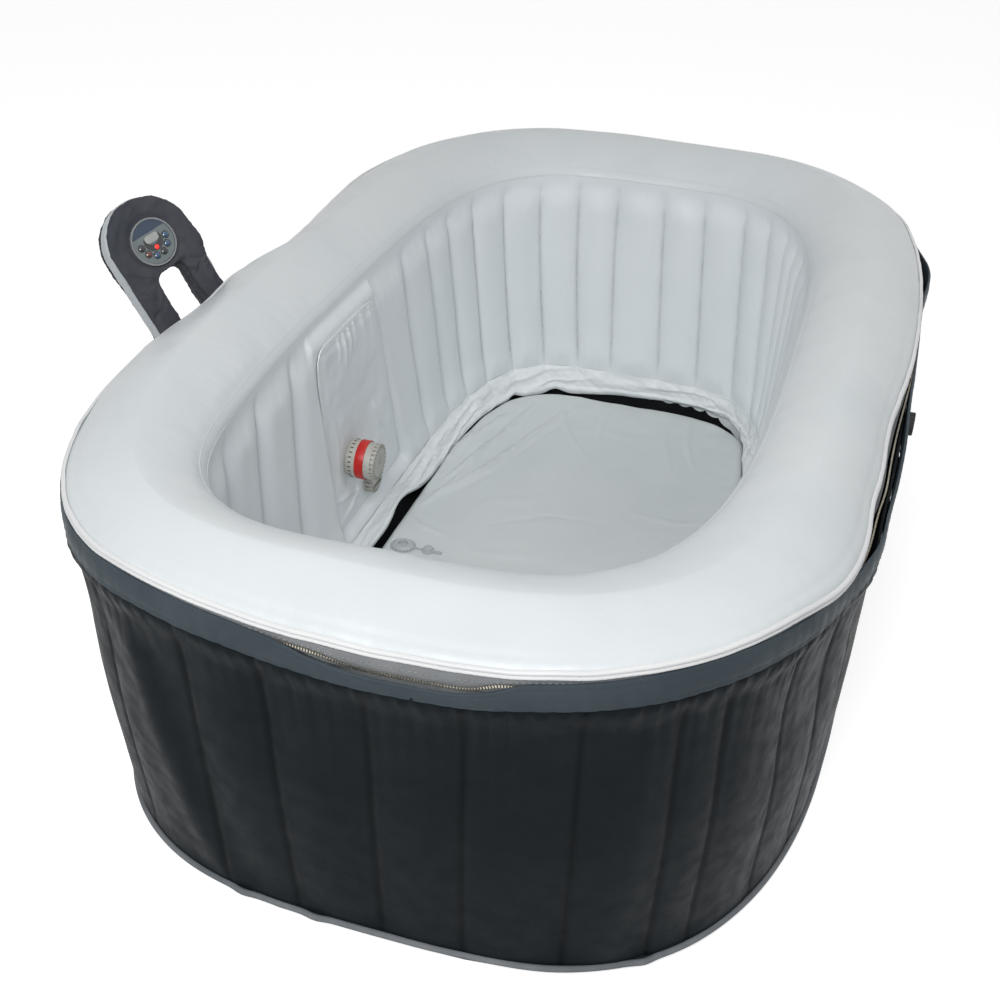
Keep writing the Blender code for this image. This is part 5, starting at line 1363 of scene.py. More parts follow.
@dataclass(frozen=True)
class InnerWall:
    """The channelled wall inside the tub, with its flat stretch behind the equipment panel."""

    steps: int = 1440
    foot: float = 0.0059
    top: float = 0.5347
    taper: float = 0.030
    foot_power: float = 4.4
    depth: float = 0.020
    flat_x: float = -0.3525
    units: float = 48.0
    seam_marks: tuple[float, ...] = (
        0.0, 1.1, 2.2, 3.3, 4.4, 5.4, 6.3, 7.07, 7.82, 8.67, 9.53, 10.63, 11.66, 12.80, 13.80, 14.83, 15.98, 17.20,
        18.40, 19.58, 21.01, 27.01, 28.75, 30.41, 31.65, 32.75, 33.90, 35.10, 36.35, 37.60, 38.80, 39.90, 40.90,
        41.90, 42.90, 43.90, 44.90, 45.95, 46.95,
    )
    lean_marks: tuple[float, ...] = (
        0.0, 6.0, 8.0, 9.0, 10.5, 11.5, 12.5, 13.2, 20.0, 21.0, 27.0, 28.5, 30.5, 32.0, 34.0, 48.0,
    )
    leans: tuple[float, ...] = (0.0, 0.3, 0.65, 0.35, 0.17, 0.17, 0.5, 0.65, 0.65, 0.6, 0.8, 0.7, 0.6, 0.5, 0.0, 0.0)
    panel_left: tuple[float, float] = (-0.179, -0.103)
    panel_right: tuple[float, float] = (0.086, 0.219)

    def oval(self, height: float) -> Oval:
        """The wall's seam line at a height."""
        share = 1 - height / PLAN.rim_foot
        return Oval(PLAN.inner.half_width - self.taper * share, PLAN.inner.half_length,
                    PLAN.inner.power + (self.foot_power - PLAN.inner.power) * share)

    def panel_edges(self, height: Array | float) -> tuple[Array | float, Array | float]:
        """The Y of the equipment panel's two upright edges at a height: the photograph shows them slanting."""
        share = (0.475 - height) / 0.370
        left, right = self.panel_left, self.panel_right
        return left[0] + (left[1] - left[0]) * share, right[0] + (right[1] - right[0]) * share

    def channels(self, run: Array, height: Array) -> tuple[Array, Array]:
        """How far each point stands in its channel.

        Args:
            run: length along the wall's course.
            height: height at each point.

        Returns:
            The channel's swell from 0 at its seams to 1, and the distance to the nearest seam.
        """
        length = Course(PLAN.inner, self.steps).length
        unit = length / self.units
        lean = np.interp(run / unit, self.lean_marks, self.leans) * unit * (np.clip(0.50 - height, 0, 1) / 0.45) ** 1.4
        placed = (run + lean) % length
        marks = np.array([*self.seam_marks, self.units]) * unit
        index = np.clip(np.searchsorted(marks, placed, side="right") - 1, 0, len(marks) - 2)
        low, high = marks[index], marks[index + 1]
        away = np.minimum(placed - low, high - placed)
        share = np.clip(away / np.minimum((high - low) / 2, 0.048), 0, 1)
        return (1 - (1 - share) ** 2) ** 0.62, away

    def swell(self, run: Array, plain: Array, height: Array) -> tuple[Array, Array]:
        """How far the wall stands inwards of its seam line, and how strongly a seam shows.

        Args:
            run: length along the wall's course.
            plain: the seam line's points.
            height: height at each point.

        Returns:
            The swell, and the seam's strength from 0 to 1.
        """
        crown, away = self.channels(run, height)
        side = np.abs(plain[:, 0] / PLAN.inner.half_width).clip(0, 1) ** 3.4
        local = height - 0.020 * (1 - side)
        up = ease(local, 0.058, 0.130) * (1 - ease(height, 0.462, 0.5250))
        swell = self.depth * up * crown + 0.0100 * ease(height, 0.458, 0.5300)
        swell += (0.0050 + 0.0130 * side) * (1 - ease(local, 0.070, 0.145))
        swell += 0.0020 * Cloud(71).at(plain, (0.10, 0.10, 0.22)) * up
        swell += 0.0010 * Cloud(72).at(plain, (0.030, 0.030, 0.09)) * up * (0.4 + 0.6 * (1 - crown))
        high = ease(height, 0.40, 0.50) * (1 - ease(height, 0.51, 0.5345))
        swell += 0.0005 * high * (puckers(run, 0.031, 73) - 0.6)
        swell -= 0.0016 * np.exp(-(away / 0.011) ** 2) * np.exp(-((height - 0.505) / 0.012) ** 2)
        foot_pull = (1 - ease(local, 0.06, 0.17)) * ease(height, 0.01, 0.05)
        swell += 0.0016 * foot_pull * (puckers(run, 0.036, 74) - 0.6)
        return swell, np.exp(-(away / 0.0026) ** 2) * up * (1 - ease(height, 0.470, 0.500))

    def beside_panel(self, points: Array, height: float) -> Array:
        """1 where the wall lies flat behind the equipment panel, 0 elsewhere."""
        left, right = self.panel_edges(min(max(height, 0.105), 0.500))
        inside = ease(points[:, 1] - left + 0.010, 0.0, 0.008) * ease(right + 0.010 - points[:, 1], 0.0, 0.008)
        level = np.array(height)
        return inside * (points[:, 0] < 0) * float(1 - ease(level, 0.498, 0.526)) * float(ease(level, 0.082, 0.110))

    def make(self, material: Finish) -> Thing:
        """Build the wall."""
        course = Course(PLAN.inner, self.steps)
        run, angles = course.runs, course.angles
        room = PLAN.corner_room(PLAN.inner.points(angles))
        heights = self.foot + (self.top - self.foot) * (0.5 - 0.5 * np.cos(np.linspace(0, np.pi, 64)))
        rows, marks = [], []
        for height in heights[::-1]:
            plain = loop(self.oval(height), angles, height)
            swell, seam = self.swell(run, plain, np.full(run.shape, height))
            row = loop(self.oval(height), angles, height, room * float(ease(np.array(height), 0.12, 0.45)) - swell)
            flat = self.beside_panel(plain, height)
            row[:, 0] = row[:, 0] * (1 - flat) + self.flat_x * flat
            rows.append(row)
            marks.append(seam * (1 - flat))
        outer = []
        for height in (self.foot, self.top / 2, self.top):
            outer.append(PLAN.jacket_loop(angles, height, -0.0225))
        grid = np.stack(rows + outer)
        fields = np.stack(marks + [run * 0] * 3)
        piece = dress(skin("inner_wall", grid, True, {"seam": fields}), material)
        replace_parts(piece, "channel_wall")
        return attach(piece, "tub")


@dataclass(frozen=True)
class EquipmentPanel:
    """The welded panel in the left wall that carries the inlet and the outlet."""

    low_y: float = -0.130
    high_y: float = 0.155
    low_z: float = 0.105
    high_z: float = 0.4975
    power: float = 9.0
    face: float = -0.350
    thickness: float = 0.0020
    columns: int = 150
    rows: int = 190
    inlet: tuple[float, float] = (-0.037, 0.235)
    outlet: tuple[float, float] = (0.055, 0.148)
    bore: float = 0.0175
    folds: tuple[Fold, ...] = (
        Fold(((-0.096, 0.494), (-0.092, 0.465), (-0.088, 0.440)), 0.0055, 0.0040),
        Fold(((-0.074, 0.498), (-0.070, 0.460), (-0.062, 0.420)), 0.0050, 0.0052),
        Fold(((-0.052, 0.498), (-0.046, 0.465), (-0.040, 0.430)), 0.0050, 0.0050),
        Fold(((-0.030, 0.498), (-0.022, 0.470), (-0.014, 0.440)), 0.0055, 0.0046),
        Fold(((0.004, 0.498), (0.014, 0.470), (0.030, 0.430)), 0.0080, 0.0038),
        Fold(((0.042, 0.496), (0.052, 0.460), (0.070, 0.410)), 0.0090, 0.0032),
        Fold(((-0.150, 0.300), (-0.120, 0.210), (-0.090, 0.150)), 0.0100, -0.0024),
        Fold(((-0.118, 0.180), (-0.060, 0.172), (0.006, 0.150)), 0.008, 0.0050),
        Fold(((-0.070, 0.108), (0.010, 0.100), (0.060, 0.108)), 0.007, 0.0040),
        Fold(((-0.095, 0.122), (-0.045, 0.140), (-0.012, 0.168)), 0.007, 0.0042),
        Fold(((0.060, 0.300), (0.090, 0.250), (0.130, 0.215)), 0.010, 0.0036),
        Fold(((-0.118, 0.350), (-0.100, 0.290), (-0.095, 0.240)), 0.010, 0.0030),
    )

    def make(self, wall: InnerWall, material: Finish) -> Thing:
        """Build the panel, with holes round both spigots."""
        y = np.linspace(self.low_y, self.high_y, self.columns)
        z = np.linspace(self.low_z, self.high_z, self.rows)
        yy, zz = np.meshgrid(y, z)
        middle_y, middle_z = (self.low_y + self.high_y) / 2, (self.low_z + self.high_z) / 2
        half_y, half_z = (self.high_y - self.low_y) / 2, (self.high_z - self.low_z) / 2
        u, v = (yy - middle_y) / half_y, (zz - middle_z) / half_z
        size = (np.abs(u) ** self.power + np.abs(v) ** self.power) ** (1 / self.power)
        squeeze = np.maximum(np.abs(u), np.abs(v)) / np.maximum(size, 1e-9)
        yy, zz = middle_y + u * squeeze * half_y, middle_z + v * squeeze * half_z
        inward = np.minimum(half_y - np.abs(yy - middle_y), half_z - np.abs(zz - middle_z))
        left, right = wall.panel_edges(zz)
        yy = left + (right - left) * (yy - self.low_y) / (self.high_y - self.low_y)
        rim = 0.0016 * np.exp(-((inward - 0.0045) / 0.0022) ** 2) + 0.0014 * np.exp(-((inward - 0.0105) / 0.0024) ** 2)
        far = np.minimum(*[np.hypot(yy - cy, zz - cz) for cy, cz in (self.inlet, self.outlet)])
        loose = ease(far, 0.034, 0.060) * ease(inward, 0.004, 0.030)
        place = np.stack([yy, zz, yy * 0], axis=-1)
        rise = fold_sum(self.folds, yy, zz) * ease(far, 0.033, 0.046) * ease(inward, 0.002, 0.014)
        rise += loose * (0.0035 + 0.0025 * Cloud(81).at(place, 0.06) + 0.0012 * Cloud(82).at(place, 0.024))
        grid = np.stack([self.face + rise + rim, yy, zz], axis=-1)
        for cy, cz in (self.inlet, self.outlet):
            dy, dz = grid[..., 1] - cy, grid[..., 2] - cz
            far = np.hypot(dy, dz)
            push = np.where(far < self.bore * 1.6, self.bore + (far / (self.bore * 1.6)) * self.bore * 0.6, far)
            scale = push / np.maximum(far, 1e-9)
            grid[..., 1], grid[..., 2] = cy + dy * scale, cz + dz * scale
        piece = sheet_grid("panel_skin", grid, self.thickness, {"inward": inward})
        self.open_holes(piece)
        dress(piece, material)
        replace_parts(piece, "equipment_panel")
        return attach(piece, "tub")

    def open_holes(self, piece: Thing) -> None:
        """Cut both holes through the panel."""
        work = bmesh.new()
        work.from_mesh(piece.data)
        gone = []
        for face in work.faces:
            for cy, cz in (self.inlet, self.outlet):
                if all(math.hypot(v.co.y - cy, v.co.z - cz) < self.bore * 1.04 for v in face.verts):
                    gone.append(face)
        bmesh.ops.delete(work, geom=list(set(gone)), context="FACES")
        work.to_mesh(piece.data)
        work.free()


@dataclass(frozen=True)
class FloorMat:
    """The inflated mat on the floor and the loose skirt between it and the wall."""

    half_width: float = 0.302
    half_length: float = 0.722
    power: float = 4.8
    foot: float = 0.0056
    top: float = 0.0456
    edge: float = 0.016
    level_share: float = 0.93
    step: float = 0.0053
    strip_rows: int = 34
    rise_cap: float = 0.0112
    skirt_top: float = 0.0820
    gaps: tuple[tuple[float, float, float, float], ...] = (
        (-0.33, 0.070, 0.080, 0.0160), (0.07, 0.75, 0.230, 0.0185), (-0.33, -0.03, 0.060, 0.0085),
        (-0.16, 0.73, 0.040, 0.0070), (-0.27, 0.66, 0.035, 0.0070), (0.22, 0.74, 0.100, 0.0070),
    )
    folds: tuple[Fold, ...] = (
        Fold(((-0.259, 0.203), (-0.204, 0.330), (-0.108, 0.655)), 0.0066, 0.0112),
        Fold(((-0.244, 0.195), (-0.190, 0.320), (-0.094, 0.640)), 0.0080, -0.0026),
        Fold(((-0.273, 0.242), (-0.221, 0.436), (-0.186, 0.642)), 0.0064, 0.0104),
        Fold(((-0.298, 0.316), (-0.282, 0.408), (-0.226, 0.585)), 0.0062, 0.0094),
        Fold(((-0.278, 0.152), (-0.242, 0.284), (-0.228, 0.483)), 0.0062, 0.0082),
        Fold(((-0.294, 0.200), (-0.286, 0.282), (-0.289, 0.476)), 0.0070, 0.0052),
        Fold(((-0.284, 0.107), (-0.261, 0.082), (-0.200, 0.060)), 0.0060, 0.0040),
        Fold(((-0.150, 0.700), (-0.090, 0.540), (-0.020, 0.440)), 0.0080, 0.0040),
        Fold(((-0.027, 0.700), (-0.030, 0.600), (-0.010, 0.480)), 0.0070, 0.0034),
        Fold(((0.147, 0.705), (0.157, 0.587), (0.190, 0.480)), 0.0070, 0.0032),
        Fold(((0.120, 0.700), (0.110, 0.580), (0.150, 0.450)), 0.010, 0.0024),
        Fold(((0.290, 0.300), (0.200, 0.260), (0.090, 0.270)), 0.010, 0.0022),
        Fold(((-0.285, -0.060), (-0.200, -0.020), (-0.120, -0.060)), 0.010, 0.0020),
        Fold(((-0.150, 0.120), (-0.040, 0.200), (0.070, 0.210)), 0.010, -0.0018),
        Fold(((0.000, -0.100), (0.110, 0.000), (0.220, 0.020)), 0.010, -0.0018),
    )

    @staticmethod
    def corner_out(points: Array) -> Array:
        """How much further out the far right corner reaches than the plain outline."""
        return 0.016 * np.exp(-(np.hypot(points[..., 0] - 0.262, points[..., 1] - 0.655) / 0.10) ** 2 * 2)

    def profile(self, r: Array) -> tuple[Array, Array]:
        """Inset and height share of the mat's upper half, from its waist at r = 1 inwards."""
        turn = np.clip((r - self.level_share) / (1 - self.level_share), 0, 1) * np.pi / 2
        return self.edge * (1 - np.sin(turn) ** 0.9), np.cos(turn) ** 0.9

    def mat(self, material: Finish) -> Thing:
        """Build the mat."""
        columns = int(2 * self.half_width / self.step) // 2 * 2 + 25
        rows = int(2 * self.half_length / self.step) // 2 * 2 + 25
        u, v = np.meshgrid(np.linspace(-1, 1, columns), np.linspace(-1, 1, rows))
        square = np.maximum(np.abs(u), np.abs(v))
        bend = square / np.maximum((np.abs(u) ** self.power + np.abs(v) ** self.power) ** (1 / self.power), 1e-9)
        inset, share = self.profile(square)
        inner = np.minimum(square / self.level_share, 1.0) / np.maximum(square, 1e-9)
        x = u * bend * inner * (self.half_width - inset)
        y = v * bend * inner * (self.half_length - inset)
        waist = (self.foot + self.top) / 2
        place = np.stack([x, y, x * 0], axis=-1)
        stretch = self.corner_out(place)
        x, y = x + 0.80 * stretch, y + 0.55 * stretch
        rise = 0.0016 * Cloud(91).at(place, 0.14) + 0.0009 * Cloud(92).at(place, 0.05)
        creases = Cloud(93).at(place, (0.10, 0.18, 1.0))
        rise += 0.0013 * (1 - np.abs(creases) * 5).clip(0, 1)
        near_edge = ease(square, 0.70, 0.95)
        rise += 0.0020 * near_edge * Cloud(94).at(place, 0.035)
        rise += fold_sum(self.folds, x, y)
        rise *= ease(share, 0.1, 0.9)
        valve = np.hypot(x + 0.262, y)
        rise *= ease(valve, 0.026, 0.060)
        cap = np.hypot(x + 0.208, y)
        rise *= ease(cap, 0.026, 0.055)
        upper = np.stack([x, y, waist + (self.top - waist) * share + np.minimum(rise, self.rise_cap)], axis=-1)
        lower = np.stack([x, y, waist - (waist - self.foot) * share], axis=-1)
        index = np.arange(rows * columns).reshape(rows, columns)
        inside = np.ones((rows, columns), bool)
        inside[0], inside[-1], inside[:, 0], inside[:, -1] = False, False, False, False
        other = index.copy()
        other[inside] = rows * columns + np.arange(inside.sum())
        quads = np.stack([index[:-1, :-1], index[:-1, 1:], index[1:, 1:], index[1:, :-1]], axis=-1).reshape(-1, 4)
        under = np.stack([other[:-1, :-1], other[1:, :-1], other[1:, 1:], other[:-1, 1:]], axis=-1).reshape(-1, 4)
        points = np.concatenate([upper.reshape(-1, 3), lower[inside]])
        piece = dress(mesh_of("floor_mat", points, np.concatenate([quads, under])), material)
        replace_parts(piece, "floor_pad")
        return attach(piece, "tub")

    def shadow_sheet(self, material: Finish) -> Thing:
        """Build a dark strip in the gap between the mat and the loose strip: painted shadow where the gap lies in
        shade.
        """
        angles = Course(PLAN.inner, 720).angles
        oval = Oval(self.half_width, self.half_length, self.power)
        wider = self.corner_out(oval.points(angles))
        section = ((0.0060, 0.0040), (0.0180, 0.0130), (0.0340, 0.0195), (0.0560, 0.0240))
        face = np.stack([loop(oval, angles, height, out + wider) for height, out in section])
        back = face + normals_of(face, False) * 0.0012
        piece = dress(skin("gap_shadow_sheet", np.concatenate([face[::-1], back])), material)
        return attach(piece, "tub")

    def skirt(self, wall: InnerWall, material: Finish) -> Thing:
        """Build the loose crumpled strip that rises from beside the mat to the wall."""
        course = Course(PLAN.inner, wall.steps)
        run, angles = course.runs, course.angles
        line = lengthwise(run)
        gap = -0.0020 + 0.0030 * np.clip(Cloud(99).at(line, 0.11), -0.4, 1)
        hem = 0.0405 + 0.0036 * Cloud(95).at(line, 0.050)
        for x, y, half, wide in self.gaps:
            slack = round_hump(run, course.place(x, y), half, course.length)
            gap += wide * slack
            hem += 0.95 * wide * slack
        side = np.abs(PLAN.inner.points(angles)[:, 0] / PLAN.inner.half_width).clip(0, 1) ** 3.4
        top = self.skirt_top + 0.022 * (1 - side)
        swell, _ = wall.swell(run, loop(wall.oval(0.09), angles, 0.09), top)
        edge = Oval(self.half_width, self.half_length, self.power)
        low_row = loop(edge, angles, 0.0, gap + self.corner_out(edge.points(angles)))
        high_row = loop(wall.oval(0.09), angles, 0.0, -swell - 0.0015)
        gather = 0.0030 * (puckers(run, 0.085, 96) - 0.5) + 0.0009 * (puckers(run, 0.026, 97) - 0.5)
        plain, loose = [], []
        for i in range(self.strip_rows):
            t = i / (self.strip_rows - 1)
            row = low_row * (1 - t) + high_row * t
            row[:, 2] = hem + (top - hem) * t
            free = math.sin(math.pi * min(0.10 + t * 0.90, 1.0)) ** 0.7
            across = np.stack([run, run * 0 + t * 0.055 + 0.10 * run, run * 0], axis=-1)
            streaks = 1 - np.abs(Cloud(98).at(across, (0.130, 0.017, 1.0))) * 3.2
            crumple = 0.0042 * streaks.clip(-0.5, 1) + 0.0014 * Cloud(100).at(across, (0.030, 0.012, 1.0))
            slant = np.roll(gather, int(30 * t))
            roll_in = 0.0040 * math.sin(math.pi * min(t / 0.30, 1.0))
            plain.append(row)
            loose.append((0.0035 * math.sin(math.pi * t) + crumple + slant) * free + roll_in)
        face = np.stack(plain)
        face = face - normals_of(face, False) * np.stack(loose)[..., None]
        back = face + normals_of(face, False) * 0.0016
        grid = np.concatenate([face[::-1], back])
        piece = dress(skin("floor_skirting", grid), material)
        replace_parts(piece, "floor_skirt")
        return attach(piece, "tub")


# Arch and control panel

@dataclass(frozen=True)
class ControlArch:
    """The padded arch beside the left rim: a fabric face and back with a pale strip between them."""

    head: tuple[float, float, float] = (-0.678, -0.090, 0.6015)
    lean: float = math.radians(33.5)
    twist: float = math.radians(32.5)
    voxel: float = 0.0030
    disc: float = 0.0405
    shoulder: tuple[float, float] = (0.076, -0.034)
    hole_half: float = 0.0335
    hole_top: float = -0.0380
    folds: tuple[Fold, ...] = (
        Fold(((-0.072, -0.012), (-0.052, -0.034), (-0.030, -0.052)), 0.0050, 0.0026),
        Fold(((-0.074, -0.040), (-0.058, -0.062), (-0.044, -0.100)), 0.0050, 0.0024),
        Fold(((-0.030, -0.080), (-0.050, -0.100), (-0.072, -0.104)), 0.0045, -0.0020),
        Fold(((0.024, -0.058), (0.040, -0.070), (0.046, -0.104)), 0.0050, 0.0026),
        Fold(((0.036, -0.050), (0.052, -0.062), (0.070, -0.064)), 0.0045, -0.0022),
        Fold(((0.070, -0.080), (0.056, -0.100), (0.050, -0.140)), 0.0055, 0.0022),
        Fold(((-0.066, 0.024), (-0.050, 0.040), (-0.026, 0.062)), 0.0055, 0.0022),
        Fold(((-0.020, 0.050), (-0.006, 0.060), (0.014, 0.068)), 0.0045, 0.0018),
        Fold(((0.030, 0.046), (0.044, 0.054), (0.052, 0.044)), 0.0045, 0.0018),
        Fold(((0.050, 0.010), (0.062, -0.006), (0.070, -0.028)), 0.0050, 0.0022),
        Fold(((-0.066, -0.130), (-0.050, -0.150), (-0.036, -0.190)), 0.0055, 0.0022),
    )

    def place(self, depth: float = 0.0) -> Matrix:
        """The arch's frame: X across, Y up the arch, Z out of its face."""
        up = Vector((-math.sin(self.lean), 0.0, math.cos(self.lean)))
        facing = Vector((math.cos(self.lean), 0.0, math.sin(self.lean)))
        side = Vector((0.0, 1.0, 0.0))
        out = facing * math.cos(self.twist) - side * math.sin(self.twist)
        across = side * math.cos(self.twist) + facing * math.sin(self.twist)
        return Matrix.Translation(Vector(self.head) + out * depth) @ Matrix((across, up, out)).transposed().to_4x4()

    def local(self, points: Array) -> Array:
        """Points in the arch's frame."""
        turn = np.array(self.place().inverted())
        return points @ turn[:3, :3].T + turn[:3, 3]

    def free(self, points: Array, low: float, high: float) -> Array:
        """How freely the cover may move: not at the panel's seat, nor where it meets the jacket or another layer."""
        x, y, z = self.local(points).T
        seat = ease(np.hypot(x, y), self.disc, self.disc + 0.010) + ease(-z, 0.004, 0.007)
        meets = ease(-points[:, 0], 0.562, 0.590)
        depth = ease(z, low, low + 0.004) * ease(-z, -high, -high + 0.004)
        return np.clip(seat, 0, 1) * meets * depth

    def layer(
        self, name: str, node: str, slot: str, material: Finish, low: float, high: float, cap: float,
        crumple: float, seed: int,
    ) -> Thing:
        """Build one layer from its solid, stuffed and crumpled.

        Args:
            name: the piece's name.
            node: the solid that it stands for.
            slot: the solid's material slot; not used.
            material: its finish.
            low: where it meets what is behind it, on the arch's Z.
            high: where it meets what is before it.
            cap: the furthest that it swells.
            crumple: depth of its small creases.
            seed: seed of the creases.
        """
        piece = puffed(copy_of_solid(name, node), self.voxel, 4.0, cap, lambda points: self.free(points, low, high))

        def creases(points: Array) -> Array:
            place = self.local(points)
            x, y, z = place.T
            slanted = np.stack([x + 0.5 * y, y - 0.4 * x, z], axis=-1)
            rough = 1 - np.abs(Cloud(seed).at(slanted, (0.016, 0.040, 0.03))) * 2.4
            rise = crumple * (rough.clip(-0.6, 1) + 0.7 * Cloud(seed + 1).at(place, 0.026))
            front = ease(z, -0.008, -0.001) if high > 0 else z * 0
            rise += front * fold_sum(self.folds, x, y)
            lump = np.hypot(x - self.shoulder[0], (y - self.shoulder[1]) * 0.8)
            rise += 0.0050 * np.exp(-(lump / 0.022) ** 2)
            return rise * self.free(points, low, high)

        move_points(piece, creases)
        dress(piece, material)
        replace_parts(piece, node)
        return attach(piece, "tub")

    def darken_hole(self, piece: Thing, dark: Finish) -> None:
        """Give the strip's faces between the legs, inside the hand hole, the dark cover material."""
        centres = np.empty(len(piece.data.polygons) * 3)
        piece.data.polygons.foreach_get("center", centres)
        x, y, _ = self.local(centres.reshape(-1, 3)).T
        inside = (np.abs(x) < self.hole_half) & (y < self.hole_top)
        # Faces inside the hand hole take the dark second material; the rest keep the pale strip.
        piece.data.materials.append(dark)
        piece.data.polygons.foreach_set("material_index", inside.astype(np.int32))


@dataclass(frozen=True)
class ControlPanel:
    """The round panel on the arch: its plate, dark upper part, window, lens and buttons."""

    arch: ControlArch
    radius: float = 0.0365
    plate_top: float = 0.0053
    chord: float = 0.0172
    window_rise: float = 0.0078
    ring: float = 0.0245
    ring_rise: float = 0.0020
    button: float = 0.0047

    def upper(self, material: Finish) -> Thing:
        """Build the dark part above the window."""
        start = math.asin(self.chord / (self.radius - 0.0004))
        turns = np.linspace(start, math.pi - start, 40)
        outline = (self.radius - 0.0004) * np.stack([np.cos(turns), np.sin(turns)], axis=-1)
        piece = plate("panel_upper", outline, self.plate_top + 0.00005, self.plate_top + 0.0004, self.arch.place())
        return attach(dress(piece, material), "tub")

    def window(self, material: Finish) -> Thing:
        """Build the pale window, rounder below than above."""
        turns = np.linspace(0, 2 * math.pi, 72, endpoint=False)
        c, s = np.cos(turns), np.sin(turns)
        x = 0.0128 * np.sign(c) * np.abs(c) ** 0.45
        y = np.where(s > 0, 0.0056 * np.abs(s) ** 0.40, -0.0078 * np.abs(s) ** 0.72) + self.window_rise
        low = self.plate_top + 0.0002
        piece = plate("window_pane", np.stack([x, y], axis=-1), low, low + 0.0011, self.arch.place(), 0.0003)
        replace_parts(dress(piece, material), "display_window")
        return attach(piece, "tub")

    def button_shade_rings(self, material: Finish) -> Thing:
        """Build a dark ring round each button: painted shade in the recess round it."""
        parts = []
        for i in range(6):
            turn = math.radians(-4 - 172 * i / 5)
            x, y = self.ring * math.cos(turn), self.ring_rise + self.ring * math.sin(turn)
            inner, low = self.button + 0.0005, self.plate_top + 0.0001
            profile = [(inner, low), (inner + 0.0014, low), (inner + 0.0011, low + 0.0006), (inner, low + 0.0007)]
            parts.append(turned("shade_ring", profile, self.arch.place() @ Matrix.Translation((x, y, 0)), 36))
        piece = dress(joined("painted_button_shade", parts), material)
        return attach(piece, "tub")


@dataclass(frozen=True)
class FilterLook:
    """What the filter shows beyond its solids: slots, its red sleeve and its pleats."""

    slots: int = 24
    sleeve: float = 0.0165
    sleeve_back: float = 0.0060

    def make(self, red: Finish, dark: Finish, paper: Finish) -> list[Thing]:
        """Build the sleeve, the slots and the pleats."""
        low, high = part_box("filter_shell")
        start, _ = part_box("filter_band")
        y, z = (low.y + high.y) / 2, (low.z + high.z) / 2
        radius = (high.z - low.z) / 2
        inner = radius + 0.0002
        profile = [
            (inner, 0.0), (inner + 0.0006, 0.0002), (inner + 0.0010, 0.0014), (inner + 0.0010, self.sleeve - 0.0014),
            (inner + 0.0005, self.sleeve - 0.0002), (inner, self.sleeve),
        ]
        sleeve = dress(turned("red_sleeve", profile, along_x(start.x - self.sleeve_back, y, z), 96), red)
        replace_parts(sleeve, "filter_band")
        made = [sleeve]
        ribs = RoundRibs("shell_slots", self.slots, radius - 0.0008, 0.0020, 0.0055, 0.0022)
        made.append(ribs.make(along_x(low.x + 0.0030, y, z), 0.0, dark))
        ticked = []
        for node in ("filter_cap", "outlet_cap"):
            near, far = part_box(node)
            size = (far.z - near.z) / 2
            ticks = RoundRibs(node + "_slots", round(size * 900), size - 0.0050, 0.0009, 0.0006, 0.0044)
            middle = along_x(far.x - 0.0003, (near.y + far.y) / 2, (near.z + far.z) / 2)
            ticked.append(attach(ticks.make(middle, 0.0, dark), node))
        pleats = dress(copy_of_solid("paper_pleats", "filter_cartridge"), paper)
        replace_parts(pleats, "filter_cartridge")
        made.append(pleats)
        for piece in made:
            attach(piece, "filter")
        return made + ticked


@dataclass(frozen=True)
class CapRibs:
    """Grip ribs round the screw caps on the jacket."""

    count: int = 28

    def make(
        self, joint: str, body: str, radius: float, low: float, length: float, material: Finish,
    ) -> Thing:
        """Set the ribs round the axis of a cap's joint.

        Args:
            joint: the joint that the cap turns on.
            body: the body that it rides.
            radius: the cap's radius.
            low: start of the ribs along the axis.
            length: their length.
            material: their finish.

        Returns:
            The ribs.
        """
        found = next(item for item in frame["record"]["behaviour"]["joints"] if item["name"] == joint)
        axis = Vector(found["axis"]).normalized()
        place = Matrix.Translation(found["pos_m"]) @ axis.to_track_quat("Z", "Y").to_matrix().to_4x4()
        ribs = RoundRibs(body + "_ribs", self.count, radius - 0.0002, 0.0016, length, 0.0018)
        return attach(ribs.make(place, low, material), body)


# Stage

